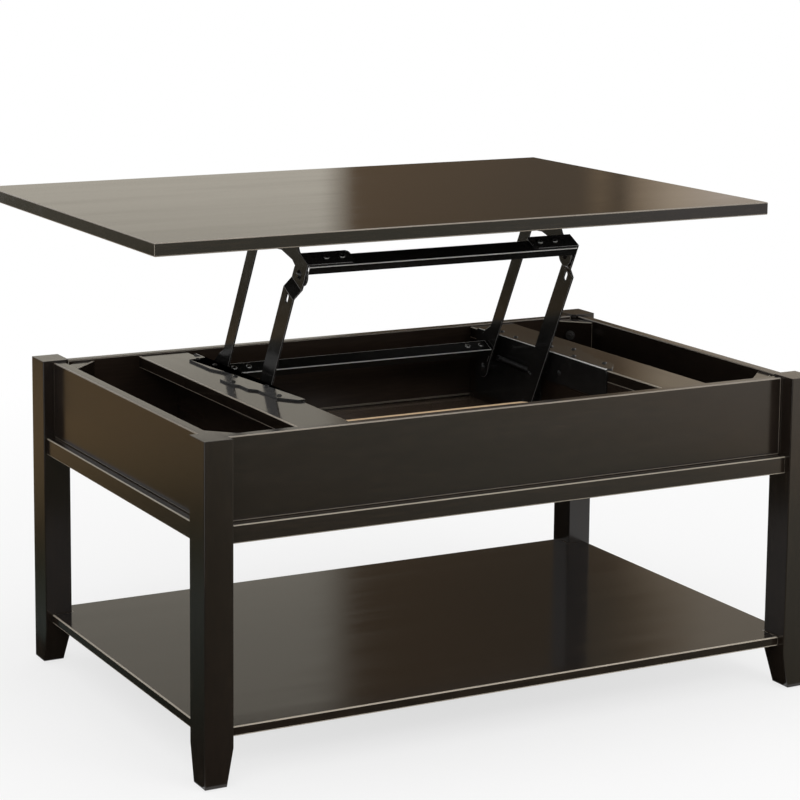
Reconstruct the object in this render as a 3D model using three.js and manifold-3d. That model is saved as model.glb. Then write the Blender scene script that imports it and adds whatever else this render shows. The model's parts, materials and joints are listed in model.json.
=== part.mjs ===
// Lift-top coffee table with its top raised.
// Millimetres. +Z is up, +X runs along the table, +Y runs from the front apron to the rear one.
// The top swings up and back on two pairs of parallel steel arms that stand in a storage well.

import * as THREE from 'three';
import { mergeVertices } from 'three/addons/utils/BufferGeometryUtils.js';
import Module from 'manifold-3d';

const wasm = await Module();
wasm.setup();

// Overall sizes
const BASE_LENGTH = 1122;
const BASE_DEPTH = 733;
const LEG_TOP = 539;
const TOP_LENGTH = 1143;
const TOP_DEPTH = 765;
const TOP_THICKNESS = 22;

// Fits and edges
const FIT_GAP = 0.3;
const RUNNING_GAP = 0.3;
const ARRIS = 1.2;
const CUT_OVERRUN = 4;

// Legs and feet
const LEG_WIDTH = 48;
const LEG_DEPTH = 56;
const FOOT_WIDTH = 37;
const FOOT_DEPTH = 43;
const TAPER_HEIGHT = 62;
const LEG_CORNER_CUT = 6;
const GLIDE_RADIUS = 13;
const GLIDE_THICKNESS = 2;

// Aprons and the rails under them
const APRON_DROP = 3;
const APRON_THICKNESS = 18.5;
const SIDE_APRON_SETBACK = 19.6;
const FRONT_APRON_SETBACK = 30;
const RAIL_TOP = 404;
const RAIL_HEIGHT = 29;
const FRONT_RAIL_SETBACK = 12.7;
const SIDE_RAIL_SETBACK = 5.7;
const RABBET_DEPTH = 13;

// Corner blocks with their bolts
const BLOCK_THICKNESS = 25;
const BLOCK_STANDOFF = 24;
const BLOCK_HEIGHT = 72;
const BLOCK_DROP = 4;
const BOLT_RADIUS = 4;
const BOLT_HOLE_RADIUS = 4.6;
const BOLT_DROP = 31;
const BOLT_BITE = 26;
const BOLT_TAIL = 13;
const WASHER_RADIUS = 9;
const WASHER_THICKNESS = 1.6;
const NUT_RADIUS = 7.5;
const NUT_THICKNESS = 6.5;

// Storage well
const FLOOR_THICKNESS = 9;
const DIVIDER_INNER = 290;
const DIVIDER_THICKNESS = 18;
const CAP_WIDTH = 90;
const CAP_THICKNESS = 21;
const CAP_DROP = 3;
const CLEAT_WIDTH = 28;
const CLEAT_HEIGHT = 20;
const CLEAT_DROP = 5;
const CLEAT_END = 58;

// Lower shelf
const SHELF_TOP = 89.4;
const SHELF_THICKNESS = 16;
const SHELF_SIDE_INSET = 12;
const SHELF_FRONT_INSET = 16.5;
const DOWEL_RADIUS = 4;
const DOWEL_BITE = 16;

// Lift linkage
const ARM_LENGTH = 330;
const RAISED_ANGLE = THREE.MathUtils.degToRad(62.5);
const FRONT_PIVOT_Y = 86;
const FRONT_PIVOT_HEIGHT = 32;
const REAR_PIVOT_BACK = 145;
const REAR_PIVOT_RISE = 41;
const TOP_PIVOT_DROP = 68;
const SEAT_GAP = 0.5;
const STEEL = 3;
const PIVOT_RADIUS = 4;
const RIVET_HEAD_RADIUS = 8;
const RIVET_HEAD_HEIGHT = 3.2;
const BUSH_RADIUS = 8;

// Planes of the linkage, as distances from the table's middle
const ARM_PLANE = 268;
const ARM_TIP_PLANE = 257;
const TOP_PLATE_PLANE = 252;

// Front arm
const FRONT_ARM_WIDTH = 40;
const JOGGLE_START = 36;
const JOGGLE_END = 18;
const SLOT_LENGTH = 18;
const SLOT_WIDTH = 9;
const SLOT_SETBACK = 47;
const TIP_REACH = 33;
const TAB_BACK = 14;
const TAB_INNER = 170;
const TAB_CORNER = 9;

// Rear arm with its ear
const REAR_ARM_WIDTH = 29;
const REAR_END_RADIUS = 18;
const EAR_REACH = 37;
const EAR_LENGTH = 84;

// Cross bars, folded from angle
const BAR_THICKNESS = 2.5;
const UPPER_BAR_WIDTH = 31;
const LOWER_BAR_WIDTH = 28;
const BAR_LIP = 15;
const LOWER_BAR_ALONG = 50.3;
const CLIP_LENGTH = 28;
const CLIP_THICKNESS = 2.8;
const CLIP_WIDTH = 24;
const CLIP_INNER = 200;
const BAR_RIVET_RADIUS = 2.5;
const BAR_RIVET_HEAD = 5;
const BAR_RIVET_DOME = 2.2;
const UPPER_RIVET_OUTER = 218;
const UPPER_RIVET_INNER = 189;
const LOWER_RIVET_OUTER = 248;
const LOWER_RIVET_INNER = 220;

// Base brackets
const BRACKET_FRONT = -148;
const BRACKET_BACK = 290;
const BRACKET_LOBE_FRONT = 64;
const BRACKET_DEEP = 121;
const BRACKET_SHALLOW = 54;
const BRACKET_CORNER = 12;
const FLANGE_WIDTH = 56;
const SCREW_RADIUS = 2;
const SCREW_HEAD_RADIUS = 4.2;
const SCREW_HEAD_HEIGHT = 2;
const SCREW_LENGTH = 16;
const SCREW_SINK = 1;

// Top brackets
const TOP_EYE_RADIUS = 20;
const TOP_LUG_RADIUS = 14;
const TOP_FLANGE_WIDTH = 38;
const TOP_FLANGE_BACK = 30;

// Counterbalance springs
const SPRING_COIL_RADIUS = 4.5;
const SPRING_WIRE_RADIUS = 1;
const SPRING_TURNS = 24;
const SPRING_LEAD = 7;
const SPRING_PIN_RADIUS = 2.6;
const SPRING_POST_END = 2;
const SPRING_PIN_ALONG = 60;
const SPRING_PIN_ACROSS = 10;
const SPRING_POST_Y = 195;
const SPRING_POST_DROP = 41;

// Roundness, in sides
const ROUND_SIDES = 20;
const SMALL_SIDES = 10;
const WIRE_SIDES = 5;
const TURN_STEPS = 8;
const HOOK_SWEEP = THREE.MathUtils.degToRad(300);

// Places worked out from the sizes
const HALF_LENGTH = BASE_LENGTH / 2;
const HALF_DEPTH = BASE_DEPTH / 2;
const LEG_INNER_X = HALF_LENGTH - LEG_WIDTH;
const LEG_INNER_Y = HALF_DEPTH - LEG_DEPTH;
const APRON_TOP = LEG_TOP - APRON_DROP;
const SIDE_APRON_OUTER = HALF_LENGTH - SIDE_APRON_SETBACK;
const SIDE_APRON_INNER = SIDE_APRON_OUTER - APRON_THICKNESS;
const FRONT_APRON_OUTER = HALF_DEPTH - FRONT_APRON_SETBACK;
const FRONT_APRON_INNER = FRONT_APRON_OUTER - APRON_THICKNESS;
const FLOOR_TOP = RAIL_TOP - RABBET_DEPTH + FLOOR_THICKNESS;
const CAP_TOP = APRON_TOP - CAP_DROP;
const CAP_BOTTOM = CAP_TOP - CAP_THICKNESS;
const SHELF_MIDDLE = SHELF_TOP - SHELF_THICKNESS / 2;
const BLOCK_TOP = APRON_TOP - BLOCK_DROP;
const BOLT_HEIGHT = APRON_TOP - BOLT_DROP;

const FRONT_PIVOT_Z = FLOOR_TOP + FRONT_PIVOT_HEIGHT;
const REAR_PIVOT_Y = FRONT_PIVOT_Y + REAR_PIVOT_BACK;
const REAR_PIVOT_Z = FRONT_PIVOT_Z + REAR_PIVOT_RISE;
const RAISED_UNDERSIDE = FRONT_PIVOT_Z + ARM_LENGTH * Math.sin(RAISED_ANGLE) + TOP_PIVOT_DROP;
const CLOSED_PIVOT_RISE = LEG_TOP + SEAT_GAP - TOP_PIVOT_DROP - FRONT_PIVOT_Z;
const CLOSED_ANGLE = Math.asin(CLOSED_PIVOT_RISE / ARM_LENGTH);
const TOP_TRAVEL = ARM_LENGTH * (Math.cos(CLOSED_ANGLE) - Math.cos(RAISED_ANGLE));
const TOP_PIVOT_Y = FRONT_PIVOT_Y - ARM_LENGTH * Math.cos(RAISED_ANGLE);
const PLATE_OUTER = DIVIDER_INNER - FIT_GAP;
const PLATE_INNER = PLATE_OUTER - STEEL;
const BRACKET_TOP = CAP_TOP + FIT_GAP + STEEL;
const SPRING_PLANE = (ARM_PLANE + STEEL / 2 + PLATE_INNER) / 2;
const SPRING_POST_Z = BRACKET_TOP - SPRING_POST_DROP;
const TIP_ALONG = ARM_LENGTH + TIP_REACH;

// The middle of the raised table, front to back, is the frame's origin.
const FRAME_MIDDLE_Y = (TOP_TRAVEL + TOP_DEPTH / 2 - HALF_DEPTH) / 2;

// Materials
const COLOURS = {
  lacquer: { color: 0x2a211c, roughness: 0.28, metalness: 0 },
  topLacquer: { color: 0x241c18, roughness: 0.12, metalness: 0 },
  wellBoard: { color: 0x4a3a31, roughness: 0.45, metalness: 0 },
  rawPine: { color: 0xc9a77a, roughness: 0.7, metalness: 0 },
  blackSteel: { color: 0x1b1c1d, roughness: 0.42, metalness: 0.6 },
  zincSteel: { color: 0x9a9b9a, roughness: 0.35, metalness: 0.9 },
  springSteel: { color: 0x3a3b3c, roughness: 0.35, metalness: 0.9 },
  nylon: { color: 0x202020, roughness: 0.6, metalness: 0 },
};

function material(name) {
  return new THREE.MeshStandardMaterial(COLOURS[name]);
}

// Position-only geometry with shared vertices merged, less the empty triangles at a turned piece's poles
function toSolid(geometry) {
  const copy = geometry.clone();
  copy.deleteAttribute('normal');
  copy.deleteAttribute('uv');
  const merged = mergeVertices(copy);
  const corners = merged.index.array;
  const kept = [];
  for (let i = 0; i < corners.length; i += 3) {
    const [a, b, c] = [corners[i], corners[i + 1], corners[i + 2]];
    if (a !== b && b !== c && c !== a) kept.push(a, b, c);
  }
  const vertProperties = new Float32Array(merged.attributes.position.array);
  const triVerts = new Uint32Array(kept);
  return new wasm.Manifold(new wasm.Mesh({ numProp: 3, vertProperties, triVerts }));
}

function toGeometry(solid) {
  const mesh = solid.getMesh();
  const geometry = new THREE.BufferGeometry();
  geometry.setAttribute('position', new THREE.BufferAttribute(mesh.vertProperties, 3));
  geometry.setIndex(new THREE.BufferAttribute(mesh.triVerts, 1));
  geometry.computeVertexNormals();
  return geometry;
}

function cut(geometry, tools) {
  const solid = tools.reduce((rest, tool) => rest.subtract(toSolid(tool)), toSolid(geometry));
  return toGeometry(solid);
}

function join(geometry, others) {
  const solid = others.reduce((whole, other) => whole.add(toSolid(other)), toSolid(geometry));
  return toGeometry(solid);
}

function common(first, second) {
  return toGeometry(toSolid(first).intersect(toSolid(second)));
}

function arcPoints(centreA, centreB, radius, start, end, steps) {
  const points = [];
  for (let i = 0; i <= steps; i += 1) {
    const angle = start + ((end - start) * i) / steps;
    points.push([centreA + radius * Math.cos(angle), centreB + radius * Math.sin(angle)]);
  }
  return points;
}

function circle(centreA, centreB, radius, sides = ROUND_SIDES) {
  return arcPoints(centreA, centreB, radius, 0, 2 * Math.PI, sides).slice(0, -1);
}

function rectangle(fromA, toA, fromB, toB) {
  return [[fromA, fromB], [toA, fromB], [toA, toB], [fromA, toB]];
}

// Rounds each corner of an outline that has a radius as its third number
function rounded(corners, steps = 4) {
  const points = [];
  corners.forEach(([a, b, radius], i) => {
    if (!radius) {
      points.push([a, b]);
      return;
    }
    const corner = new THREE.Vector2(a, b);
    const before = new THREE.Vector2(...corners.at(i - 1).slice(0, 2)).sub(corner);
    const after = new THREE.Vector2(...corners[(i + 1) % corners.length].slice(0, 2)).sub(corner);
    const half = Math.acos(before.clone().normalize().dot(after.clone().normalize())) / 2;
    const back = Math.min(radius / Math.tan(half), before.length() / 2, after.length() / 2);
    const start = corner.clone().add(before.setLength(back));
    const end = corner.clone().add(after.setLength(back));
    for (let k = 0; k <= steps; k += 1) {
      const t = k / steps;
      const weights = [(1 - t) * (1 - t), 2 * t * (1 - t), t * t];
      points.push([
        weights[0] * start.x + weights[1] * corner.x + weights[2] * end.x,
        weights[0] * start.y + weights[1] * corner.y + weights[2] * end.y,
      ]);
    }
  });
  return points;
}

// Turns a solid drawn in x, y with its length along z so that the length runs along an axis.
// The outline's two numbers then run along y, z for 'x', along x, z for 'y' and x, y for 'z'.
function lieAlong(geometry, axis) {
  const places = {
    x: new THREE.Matrix4().set(0, 0, 1, 0, 1, 0, 0, 0, 0, 1, 0, 0, 0, 0, 0, 1),
    y: new THREE.Matrix4().set(1, 0, 0, 0, 0, 0, -1, 0, 0, 1, 0, 0, 0, 0, 0, 1),
    z: new THREE.Matrix4(),
  };
  return geometry.applyMatrix4(places[axis]);
}

// A closed outline made solid between two places on an axis, with holes and chamfered rims
function prism(axis, outline, from, to, { holes = [], chamfer = 0 } = {}) {
  const shape = new THREE.Shape(outline.map(([a, b]) => new THREE.Vector2(a, b)));
  shape.holes = holes.map((hole) => new THREE.Path(hole.map(([a, b]) => new THREE.Vector2(a, b))));
  const low = Math.min(from, to);
  const high = Math.max(from, to);
  const geometry = new THREE.ExtrudeGeometry(shape, {
    depth: high - low - 2 * chamfer,
    bevelEnabled: chamfer > 0,
    bevelThickness: chamfer,
    bevelSize: chamfer,
    bevelOffset: -chamfer,
    bevelSegments: 1,
  });
  geometry.translate(0, 0, axis === 'y' ? chamfer - high : chamfer + low);
  return lieAlong(geometry, axis);
}

function board(axis, fromA, toA, fromB, toB, from, to) {
  return prism(axis, rectangle(fromA, toA, fromB, toB), from, to, { chamfer: ARRIS });
}

function rod(axis, centreA, centreB, radius, from, to, sides = ROUND_SIDES) {
  return prism(axis, circle(centreA, centreB, radius, sides), from, to);
}

// A turned piece: pairs of radius and distance along the axis, in rising order
function turned(axis, profile, sides = ROUND_SIDES) {
  const points = profile.map(([radius, place]) => new THREE.Vector2(radius, place));
  const geometry = new THREE.LatheGeometry(points, sides);
  if (axis === 'x') geometry.rotateZ(-Math.PI / 2);
  if (axis === 'z') geometry.rotateX(Math.PI / 2);
  return geometry;
}

// A turned piece across the table, with its distances counted from the table's middle
function turnedAcross(side, profile, y, z, sides = ROUND_SIDES) {
  const sided = profile.map(([radius, place]) => [radius, side * place]);
  if (side < 0) sided.reverse();
  return turned('x', sided, sides).translate(0, y, z);
}

// Half-round head that starts or ends a turned profile
function dome(radius, height, base, direction) {
  const steps = 2;
  const points = [];
  for (let i = 0; i <= steps; i += 1) {
    const angle = ((Math.PI / 2) * i) / steps;
    points.push([radius * Math.sin(angle), base + direction * height * Math.cos(angle)]);
  }
  points[0][0] = 0;
  return direction < 0 ? points : points.reverse();
}

// Outlines stacked at rising heights and closed at both ends
function loft(layers) {
  const first = layers[0].outline.map(([x, y]) => new THREE.Vector2(x, y));
  const clockwise = THREE.ShapeUtils.isClockWise(first);
  const rings = layers.map(({ outline, z }) => {
    const points = outline.map(([x, y]) => new THREE.Vector3(x, y, z));
    return clockwise ? points.reverse() : points;
  });
  const count = rings[0].length;
  const index = [];
  for (let k = 0; k + 1 < rings.length; k += 1) {
    for (let i = 0; i < count; i += 1) {
      const a = k * count + i;
      const b = k * count + ((i + 1) % count);
      index.push(a, b, b + count, a, b + count, a + count);
    }
  }
  const last = (rings.length - 1) * count;
  for (const [a, b, c] of THREE.ShapeUtils.triangulateShape(rings[0], [])) index.push(a, c, b);
  for (const [a, b, c] of THREE.ShapeUtils.triangulateShape(rings.at(-1), [])) {
    index.push(last + a, last + b, last + c);
  }
  const geometry = new THREE.BufferGeometry().setFromPoints(rings.flat());
  geometry.setIndex(index);
  geometry.computeVertexNormals();
  return geometry;
}

function node(name, geometry, materialName) {
  const mesh = new THREE.Mesh(geometry, material(materialName));
  mesh.name = name;
  return mesh;
}

function sideName(side) {
  return side < 0 ? 'left' : 'right';
}

const SIDES = [-1, 1];
const CORNERS = [
  { x: -1, y: -1, name: 'front_left' },
  { x: 1, y: -1, name: 'front_right' },
  { x: -1, y: 1, name: 'rear_left' },
  { x: 1, y: 1, name: 'rear_right' },
];

// A hole or rod on the diagonal of a corner, counted inwards from the aprons' inner corner
function diagonalRod(corner, radius, from, to, sides = ROUND_SIDES) {
  return placeOnDiagonal(corner, rod('x', 0, 0, radius, from, to, sides));
}

function placeOnDiagonal(corner, geometry) {
  geometry.rotateZ(Math.atan2(-corner.y, -corner.x));
  return geometry.translate(corner.x * SIDE_APRON_INNER, corner.y * FRONT_APRON_INNER, BOLT_HEIGHT);
}

function makeLeg(corner) {
  const outline = (width, depth) => {
    const outerX = corner.x * HALF_LENGTH;
    const outerY = corner.y * HALF_DEPTH;
    const innerX = corner.x * (HALF_LENGTH - width);
    const innerY = corner.y * (HALF_DEPTH - depth);
    return rounded([
      [outerX, outerY, ARRIS], [innerX, outerY, ARRIS], [innerX, innerY, ARRIS], [outerX, innerY, ARRIS],
    ], 1);
  };
  const bottom = GLIDE_THICKNESS + FIT_GAP;
  const post = loft([
    { outline: outline(FOOT_WIDTH, FOOT_DEPTH), z: bottom },
    { outline: outline(LEG_WIDTH, LEG_DEPTH), z: TAPER_HEIGHT },
    { outline: outline(LEG_WIDTH, LEG_DEPTH), z: LEG_TOP },
  ]);
  const cornerX = corner.x * LEG_INNER_X;
  const cornerY = corner.y * LEG_INNER_Y;
  const bite = LEG_CORNER_CUT + CUT_OVERRUN;
  const cornerCut = prism('z', [
    [cornerX + corner.x * bite, cornerY - corner.y * CUT_OVERRUN],
    [cornerX - corner.x * CUT_OVERRUN, cornerY + corner.y * bite],
    [cornerX - corner.x * CUT_OVERRUN, cornerY - corner.y * CUT_OVERRUN],
  ], RAIL_TOP, LEG_TOP + CUT_OVERRUN);
  const dowelHole = rod('x', corner.y * dowelPlace(), SHELF_MIDDLE, DOWEL_RADIUS + FIT_GAP,
    corner.x * (LEG_INNER_X - CUT_OVERRUN), corner.x * (LEG_INNER_X + DOWEL_BITE + FIT_GAP), SMALL_SIDES);
  const boltHole = diagonalRod(corner, BOLT_HOLE_RADIUS, -BOLT_BITE - FIT_GAP, BLOCK_STANDOFF, SMALL_SIDES);
  return cut(post, [cornerCut, dowelHole, boltHole]);
}

// Distance of each shelf dowel from the table's middle, front to back
function dowelPlace() {
  return (LEG_INNER_Y + HALF_DEPTH - SHELF_FRONT_INSET) / 2;
}

function makeGlide(corner) {
  const x = corner.x * (HALF_LENGTH - FOOT_WIDTH / 2);
  const y = corner.y * (HALF_DEPTH - FOOT_DEPTH / 2);
  return rod('z', x, y, GLIDE_RADIUS, 0, GLIDE_THICKNESS);
}

function makeFrontApron(side) {
  const reach = LEG_INNER_X - FIT_GAP;
  const bottom = RAIL_TOP + FIT_GAP;
  return board('y', -reach, reach, bottom, APRON_TOP, side * FRONT_APRON_INNER, side * FRONT_APRON_OUTER);
}

function makeSideApron(side) {
  const reach = LEG_INNER_Y - FIT_GAP;
  const bottom = RAIL_TOP + FIT_GAP;
  return board('x', -reach, reach, bottom, APRON_TOP, side * SIDE_APRON_INNER, side * SIDE_APRON_OUTER);
}

// Rail section: its outer edge stands proud of the apron and its inner edge is rebated for the floor
function railSection(side, outer, apronInner, inner) {
  const bottom = RAIL_TOP - RAIL_HEIGHT;
  const ledge = RAIL_TOP - RABBET_DEPTH;
  return [
    [side * outer, bottom + ARRIS], [side * (outer - ARRIS), bottom], [side * inner, bottom],
    [side * inner, ledge], [side * apronInner, ledge], [side * apronInner, RAIL_TOP],
    [side * (outer - ARRIS), RAIL_TOP], [side * outer, RAIL_TOP - ARRIS],
  ];
}

function makeFrontRail(side) {
  const section = railSection(side, HALF_DEPTH - FRONT_RAIL_SETBACK, FRONT_APRON_INNER, LEG_INNER_Y);
  return prism('x', section, -(LEG_INNER_X - FIT_GAP), LEG_INNER_X - FIT_GAP);
}

function makeSideRail(side) {
  const section = railSection(side, HALF_LENGTH - SIDE_RAIL_SETBACK, SIDE_APRON_INNER, LEG_INNER_X);
  return prism('y', section, -(LEG_INNER_Y - FIT_GAP), LEG_INNER_Y - FIT_GAP);
}

// Plan of a board that is notched round the four legs
function notchedOutline(halfX, halfY) {
  const notchX = LEG_INNER_X - FIT_GAP;
  const notchY = LEG_INNER_Y - FIT_GAP;
  return [
    [notchX, -halfY], [notchX, -notchY], [halfX, -notchY], [halfX, notchY], [notchX, notchY],
    [notchX, halfY], [-notchX, halfY], [-notchX, notchY], [-halfX, notchY], [-halfX, -notchY],
    [-notchX, -notchY], [-notchX, -halfY],
  ];
}

function makeWellFloor() {
  const outline = notchedOutline(SIDE_APRON_INNER - FIT_GAP, FRONT_APRON_INNER - FIT_GAP);
  return prism('z', outline, FLOOR_TOP - FLOOR_THICKNESS + FIT_GAP, FLOOR_TOP);
}

function makeShelf() {
  const outline = notchedOutline(HALF_LENGTH - SHELF_SIDE_INSET, HALF_DEPTH - SHELF_FRONT_INSET);
  const slab = prism('z', outline, SHELF_TOP - SHELF_THICKNESS, SHELF_TOP, { chamfer: ARRIS });
  const radius = DOWEL_RADIUS + FIT_GAP;
  const holes = CORNERS.map((corner) => rod('x', corner.y * dowelPlace(), SHELF_MIDDLE, radius,
    corner.x * (LEG_INNER_X - DOWEL_BITE - FIT_GAP), corner.x * (LEG_INNER_X + CUT_OVERRUN), SMALL_SIDES));
  return cut(slab, holes);
}

function makeShelfDowel(corner) {
  return rod('x', corner.y * dowelPlace(), SHELF_MIDDLE, DOWEL_RADIUS,
    corner.x * (LEG_INNER_X - DOWEL_BITE), corner.x * (LEG_INNER_X + DOWEL_BITE), SMALL_SIDES);
}

function makeCornerBlock(corner) {
  const near = BLOCK_STANDOFF;
  const far = BLOCK_STANDOFF + BLOCK_THICKNESS * Math.SQRT2;
  const place = (inX, inY) => [corner.x * (SIDE_APRON_INNER - inX), corner.y * (FRONT_APRON_INNER - inY)];
  const outline = [place(FIT_GAP, near), place(FIT_GAP, far), place(far, FIT_GAP), place(near, FIT_GAP)];
  const block = prism('z', outline, BLOCK_TOP - BLOCK_HEIGHT, BLOCK_TOP, { chamfer: ARRIS });
  const hole = diagonalRod(corner, BOLT_HOLE_RADIUS, 0, far, SMALL_SIDES);
  return cut(block, [hole]);
}

// Inner face of a corner block, counted along the diagonal from the aprons' inner corner
const BLOCK_FACE = BLOCK_STANDOFF / Math.SQRT2 + BLOCK_THICKNESS;

// Hanger bolt with its washer and nut against the block's inner face
function makeCornerBolt(corner) {
  const washerEnd = BLOCK_FACE + FIT_GAP + WASHER_THICKNESS;
  const bolt = rod('x', 0, 0, BOLT_RADIUS, -BOLT_BITE, BLOCK_FACE + BOLT_TAIL, SMALL_SIDES);
  const washer = rod('x', 0, 0, WASHER_RADIUS, BLOCK_FACE + FIT_GAP, washerEnd);
  const nut = prism('x', circle(0, 0, NUT_RADIUS, 6), washerEnd, washerEnd + NUT_THICKNESS);
  return placeOnDiagonal(corner, join(bolt, [washer, nut]));
}

function makeDivider(side) {
  const reach = FRONT_APRON_INNER - FIT_GAP;
  const outer = DIVIDER_INNER + DIVIDER_THICKNESS;
  const holes = plateScrewPlaces().map(([y, z]) => circle(y, z, SCREW_RADIUS + FIT_GAP, SMALL_SIDES));
  const outline = rectangle(-reach, reach, FLOOR_TOP + FIT_GAP, CAP_BOTTOM - FIT_GAP);
  return prism('x', outline, side * DIVIDER_INNER, side * outer, { holes });
}

function makeCap(side) {
  const reach = FRONT_APRON_INNER - FIT_GAP;
  const outline = rectangle(side * DIVIDER_INNER, side * (DIVIDER_INNER + CAP_WIDTH), -reach, reach);
  const slab = prism('z', outline, CAP_BOTTOM, CAP_TOP, { chamfer: ARRIS });
  const holes = flangeScrewPlaces(side).map(([x, y]) => rod('z', x, y, SCREW_RADIUS + FIT_GAP,
    CAP_TOP - SCREW_LENGTH, CAP_TOP + CUT_OVERRUN, SMALL_SIDES));
  return cut(slab, holes);
}

function makeCleat() {
  const front = -FRONT_APRON_INNER + FIT_GAP;
  const back = front + CLEAT_WIDTH;
  const left = -DIVIDER_INNER + FIT_GAP;
  const top = APRON_TOP - CLEAT_DROP;
  const outline = [[left, front], [CLEAT_END, front], [CLEAT_END - CLEAT_WIDTH, back], [left, back]];
  return prism('z', outline, top - CLEAT_HEIGHT, top);
}

// Flange on the cap, as shares of the bracket's length from its front and of the flange's width
const FLANGE_SHARES = [
  [0, 0], [0, 0.2], [0.07, 0.62], [0.23, 0.66], [0.26, 0.84], [0.34, 0.84], [0.37, 1],
  [0.47, 1], [0.5, 0.82], [0.55, 0.34], [0.67, 0.62], [0.87, 0.62], [0.91, 0.38], [0.91, 0],
];

// Screws through the flange, as shares of the same length and width
const FLANGE_SCREW_SHARES = [
  [0.1, 0.44], [0.275, 0.2], [0.4, 0.82], [0.49, 0.42], [0.73, 0.24], [0.865, 0.36],
];

// Screws through the upright plate, as shares of its length from the front and of its deep side
const PLATE_SCREW_SHARES = [[0.34, 0.28], [0.94, 0.42]];

const BRACKET_LENGTH = BRACKET_BACK - BRACKET_FRONT;

function flangePoint(side, [lengthShare, widthShare]) {
  return [side * (PLATE_INNER + widthShare * FLANGE_WIDTH), BRACKET_FRONT + lengthShare * BRACKET_LENGTH];
}

function flangeScrewPlaces(side) {
  return FLANGE_SCREW_SHARES.map((share) => flangePoint(side, share));
}

function plateScrewPlaces() {
  return PLATE_SCREW_SHARES.map(([lengthShare, depthShare]) => [
    BRACKET_FRONT + lengthShare * BRACKET_LENGTH,
    BRACKET_TOP - depthShare * BRACKET_DEEP,
  ]);
}

function pivotPlaces() {
  return [[FRONT_PIVOT_Y, FRONT_PIVOT_Z], [REAR_PIVOT_Y, REAR_PIVOT_Z]];
}

function makeBaseBracket(side) {
  const deep = BRACKET_TOP - BRACKET_DEEP;
  const shallow = BRACKET_TOP - BRACKET_SHALLOW;
  const outline = rounded([
    [BRACKET_FRONT, BRACKET_TOP, BRACKET_CORNER], [BRACKET_FRONT, shallow, BRACKET_CORNER],
    [BRACKET_LOBE_FRONT, shallow, BRACKET_CORNER], [BRACKET_LOBE_FRONT, deep, BRACKET_CORNER],
    [BRACKET_BACK, deep, BRACKET_CORNER], [BRACKET_BACK, BRACKET_TOP, BRACKET_CORNER],
  ]);
  const holes = pivotPlaces().map(([y, z]) => circle(y, z, PIVOT_RADIUS + RUNNING_GAP));
  const plate = prism('x', outline, side * PLATE_INNER, side * PLATE_OUTER, { holes });
  const flangeOutline = FLANGE_SHARES.map((share) => flangePoint(side, share));
  const flange = prism('z', flangeOutline, BRACKET_TOP - STEEL, BRACKET_TOP);
  return join(plate, [flange, ...makeBracketScrews(side), makeSpringPost(side)]);
}

// A domed screw driven from a seat, against the direction that its head faces
function screwProfile(seat, direction, length) {
  const tip = seat - direction * length;
  const sunk = seat - direction * SCREW_SINK;
  const head = dome(SCREW_HEAD_RADIUS, SCREW_HEAD_HEIGHT, seat, direction);
  const neck = [[SCREW_HEAD_RADIUS, sunk], [SCREW_RADIUS, sunk], [SCREW_RADIUS, tip], [0, tip]];
  return direction > 0 ? [...neck.reverse(), ...head] : [...head, ...neck];
}

function makeBracketScrews(side) {
  const flangeScrews = flangeScrewPlaces(side).map(([x, y]) => (
    turned('z', screwProfile(BRACKET_TOP, 1, SCREW_LENGTH), SMALL_SIDES).translate(x, y, 0)));
  const plateScrews = plateScrewPlaces().map(([y, z]) => (
    turnedAcross(side, screwProfile(PLATE_INNER, -1, SCREW_LENGTH), y, z, SMALL_SIDES)));
  return [...flangeScrews, ...plateScrews];
}

function makeSpringPost(side) {
  const from = side * (SPRING_PLANE - SPRING_WIRE_RADIUS - SPRING_POST_END);
  const to = side * PLATE_OUTER;
  return rod('x', SPRING_POST_Y, SPRING_POST_Z, SPRING_PIN_RADIUS, from, to, SMALL_SIDES);
}

// Shouldered pin: its head holds the arm, and its shoulder keeps the arm off the bracket
function makeLowerPin(side, [y, z]) {
  const head = ARM_PLANE - STEEL / 2 - RUNNING_GAP;
  const shoulder = ARM_PLANE + STEEL / 2 + RUNNING_GAP;
  const seat = PLATE_INNER - FIT_GAP;
  const profile = [
    ...dome(RIVET_HEAD_RADIUS, RIVET_HEAD_HEIGHT, head, -1),
    [PIVOT_RADIUS, head], [PIVOT_RADIUS, shoulder], [BUSH_RADIUS, shoulder], [BUSH_RADIUS, seat],
    [PIVOT_RADIUS, seat], [PIVOT_RADIUS, PLATE_OUTER], [0, PLATE_OUTER],
  ];
  return turnedAcross(side, profile, y, z);
}

// Arms are drawn lying forward along -y from their lower pivot, and their group turns them up.
// The ribbon is the arm seen from above: straight, then stepped inwards, then folded to a tab.
function frontArmRibbon(side) {
  const half = STEEL / 2;
  const points = [
    [ARM_PLANE + half, -FRONT_ARM_WIDTH / 2], [ARM_PLANE + half, ARM_LENGTH - JOGGLE_START],
    [ARM_TIP_PLANE + half, ARM_LENGTH - JOGGLE_END], [ARM_TIP_PLANE + half, TIP_ALONG],
    [TAB_INNER, TIP_ALONG], [TAB_INNER, TIP_ALONG - STEEL], [ARM_TIP_PLANE - half, TIP_ALONG - STEEL],
    [ARM_TIP_PLANE - half, ARM_LENGTH - JOGGLE_END], [ARM_PLANE - half, ARM_LENGTH - JOGGLE_START],
    [ARM_PLANE - half, -FRONT_ARM_WIDTH / 2],
  ];
  return points.map(([distance, along]) => [side * distance, -along]);
}

function slotOutline(along) {
  const radius = SLOT_WIDTH / 2;
  const reach = SLOT_LENGTH / 2 - radius;
  return [
    ...arcPoints(-along + reach, 0, radius, -Math.PI / 2, Math.PI / 2, 6),
    ...arcPoints(-along - reach, 0, radius, Math.PI / 2, (3 * Math.PI) / 2, 6),
  ];
}

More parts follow.
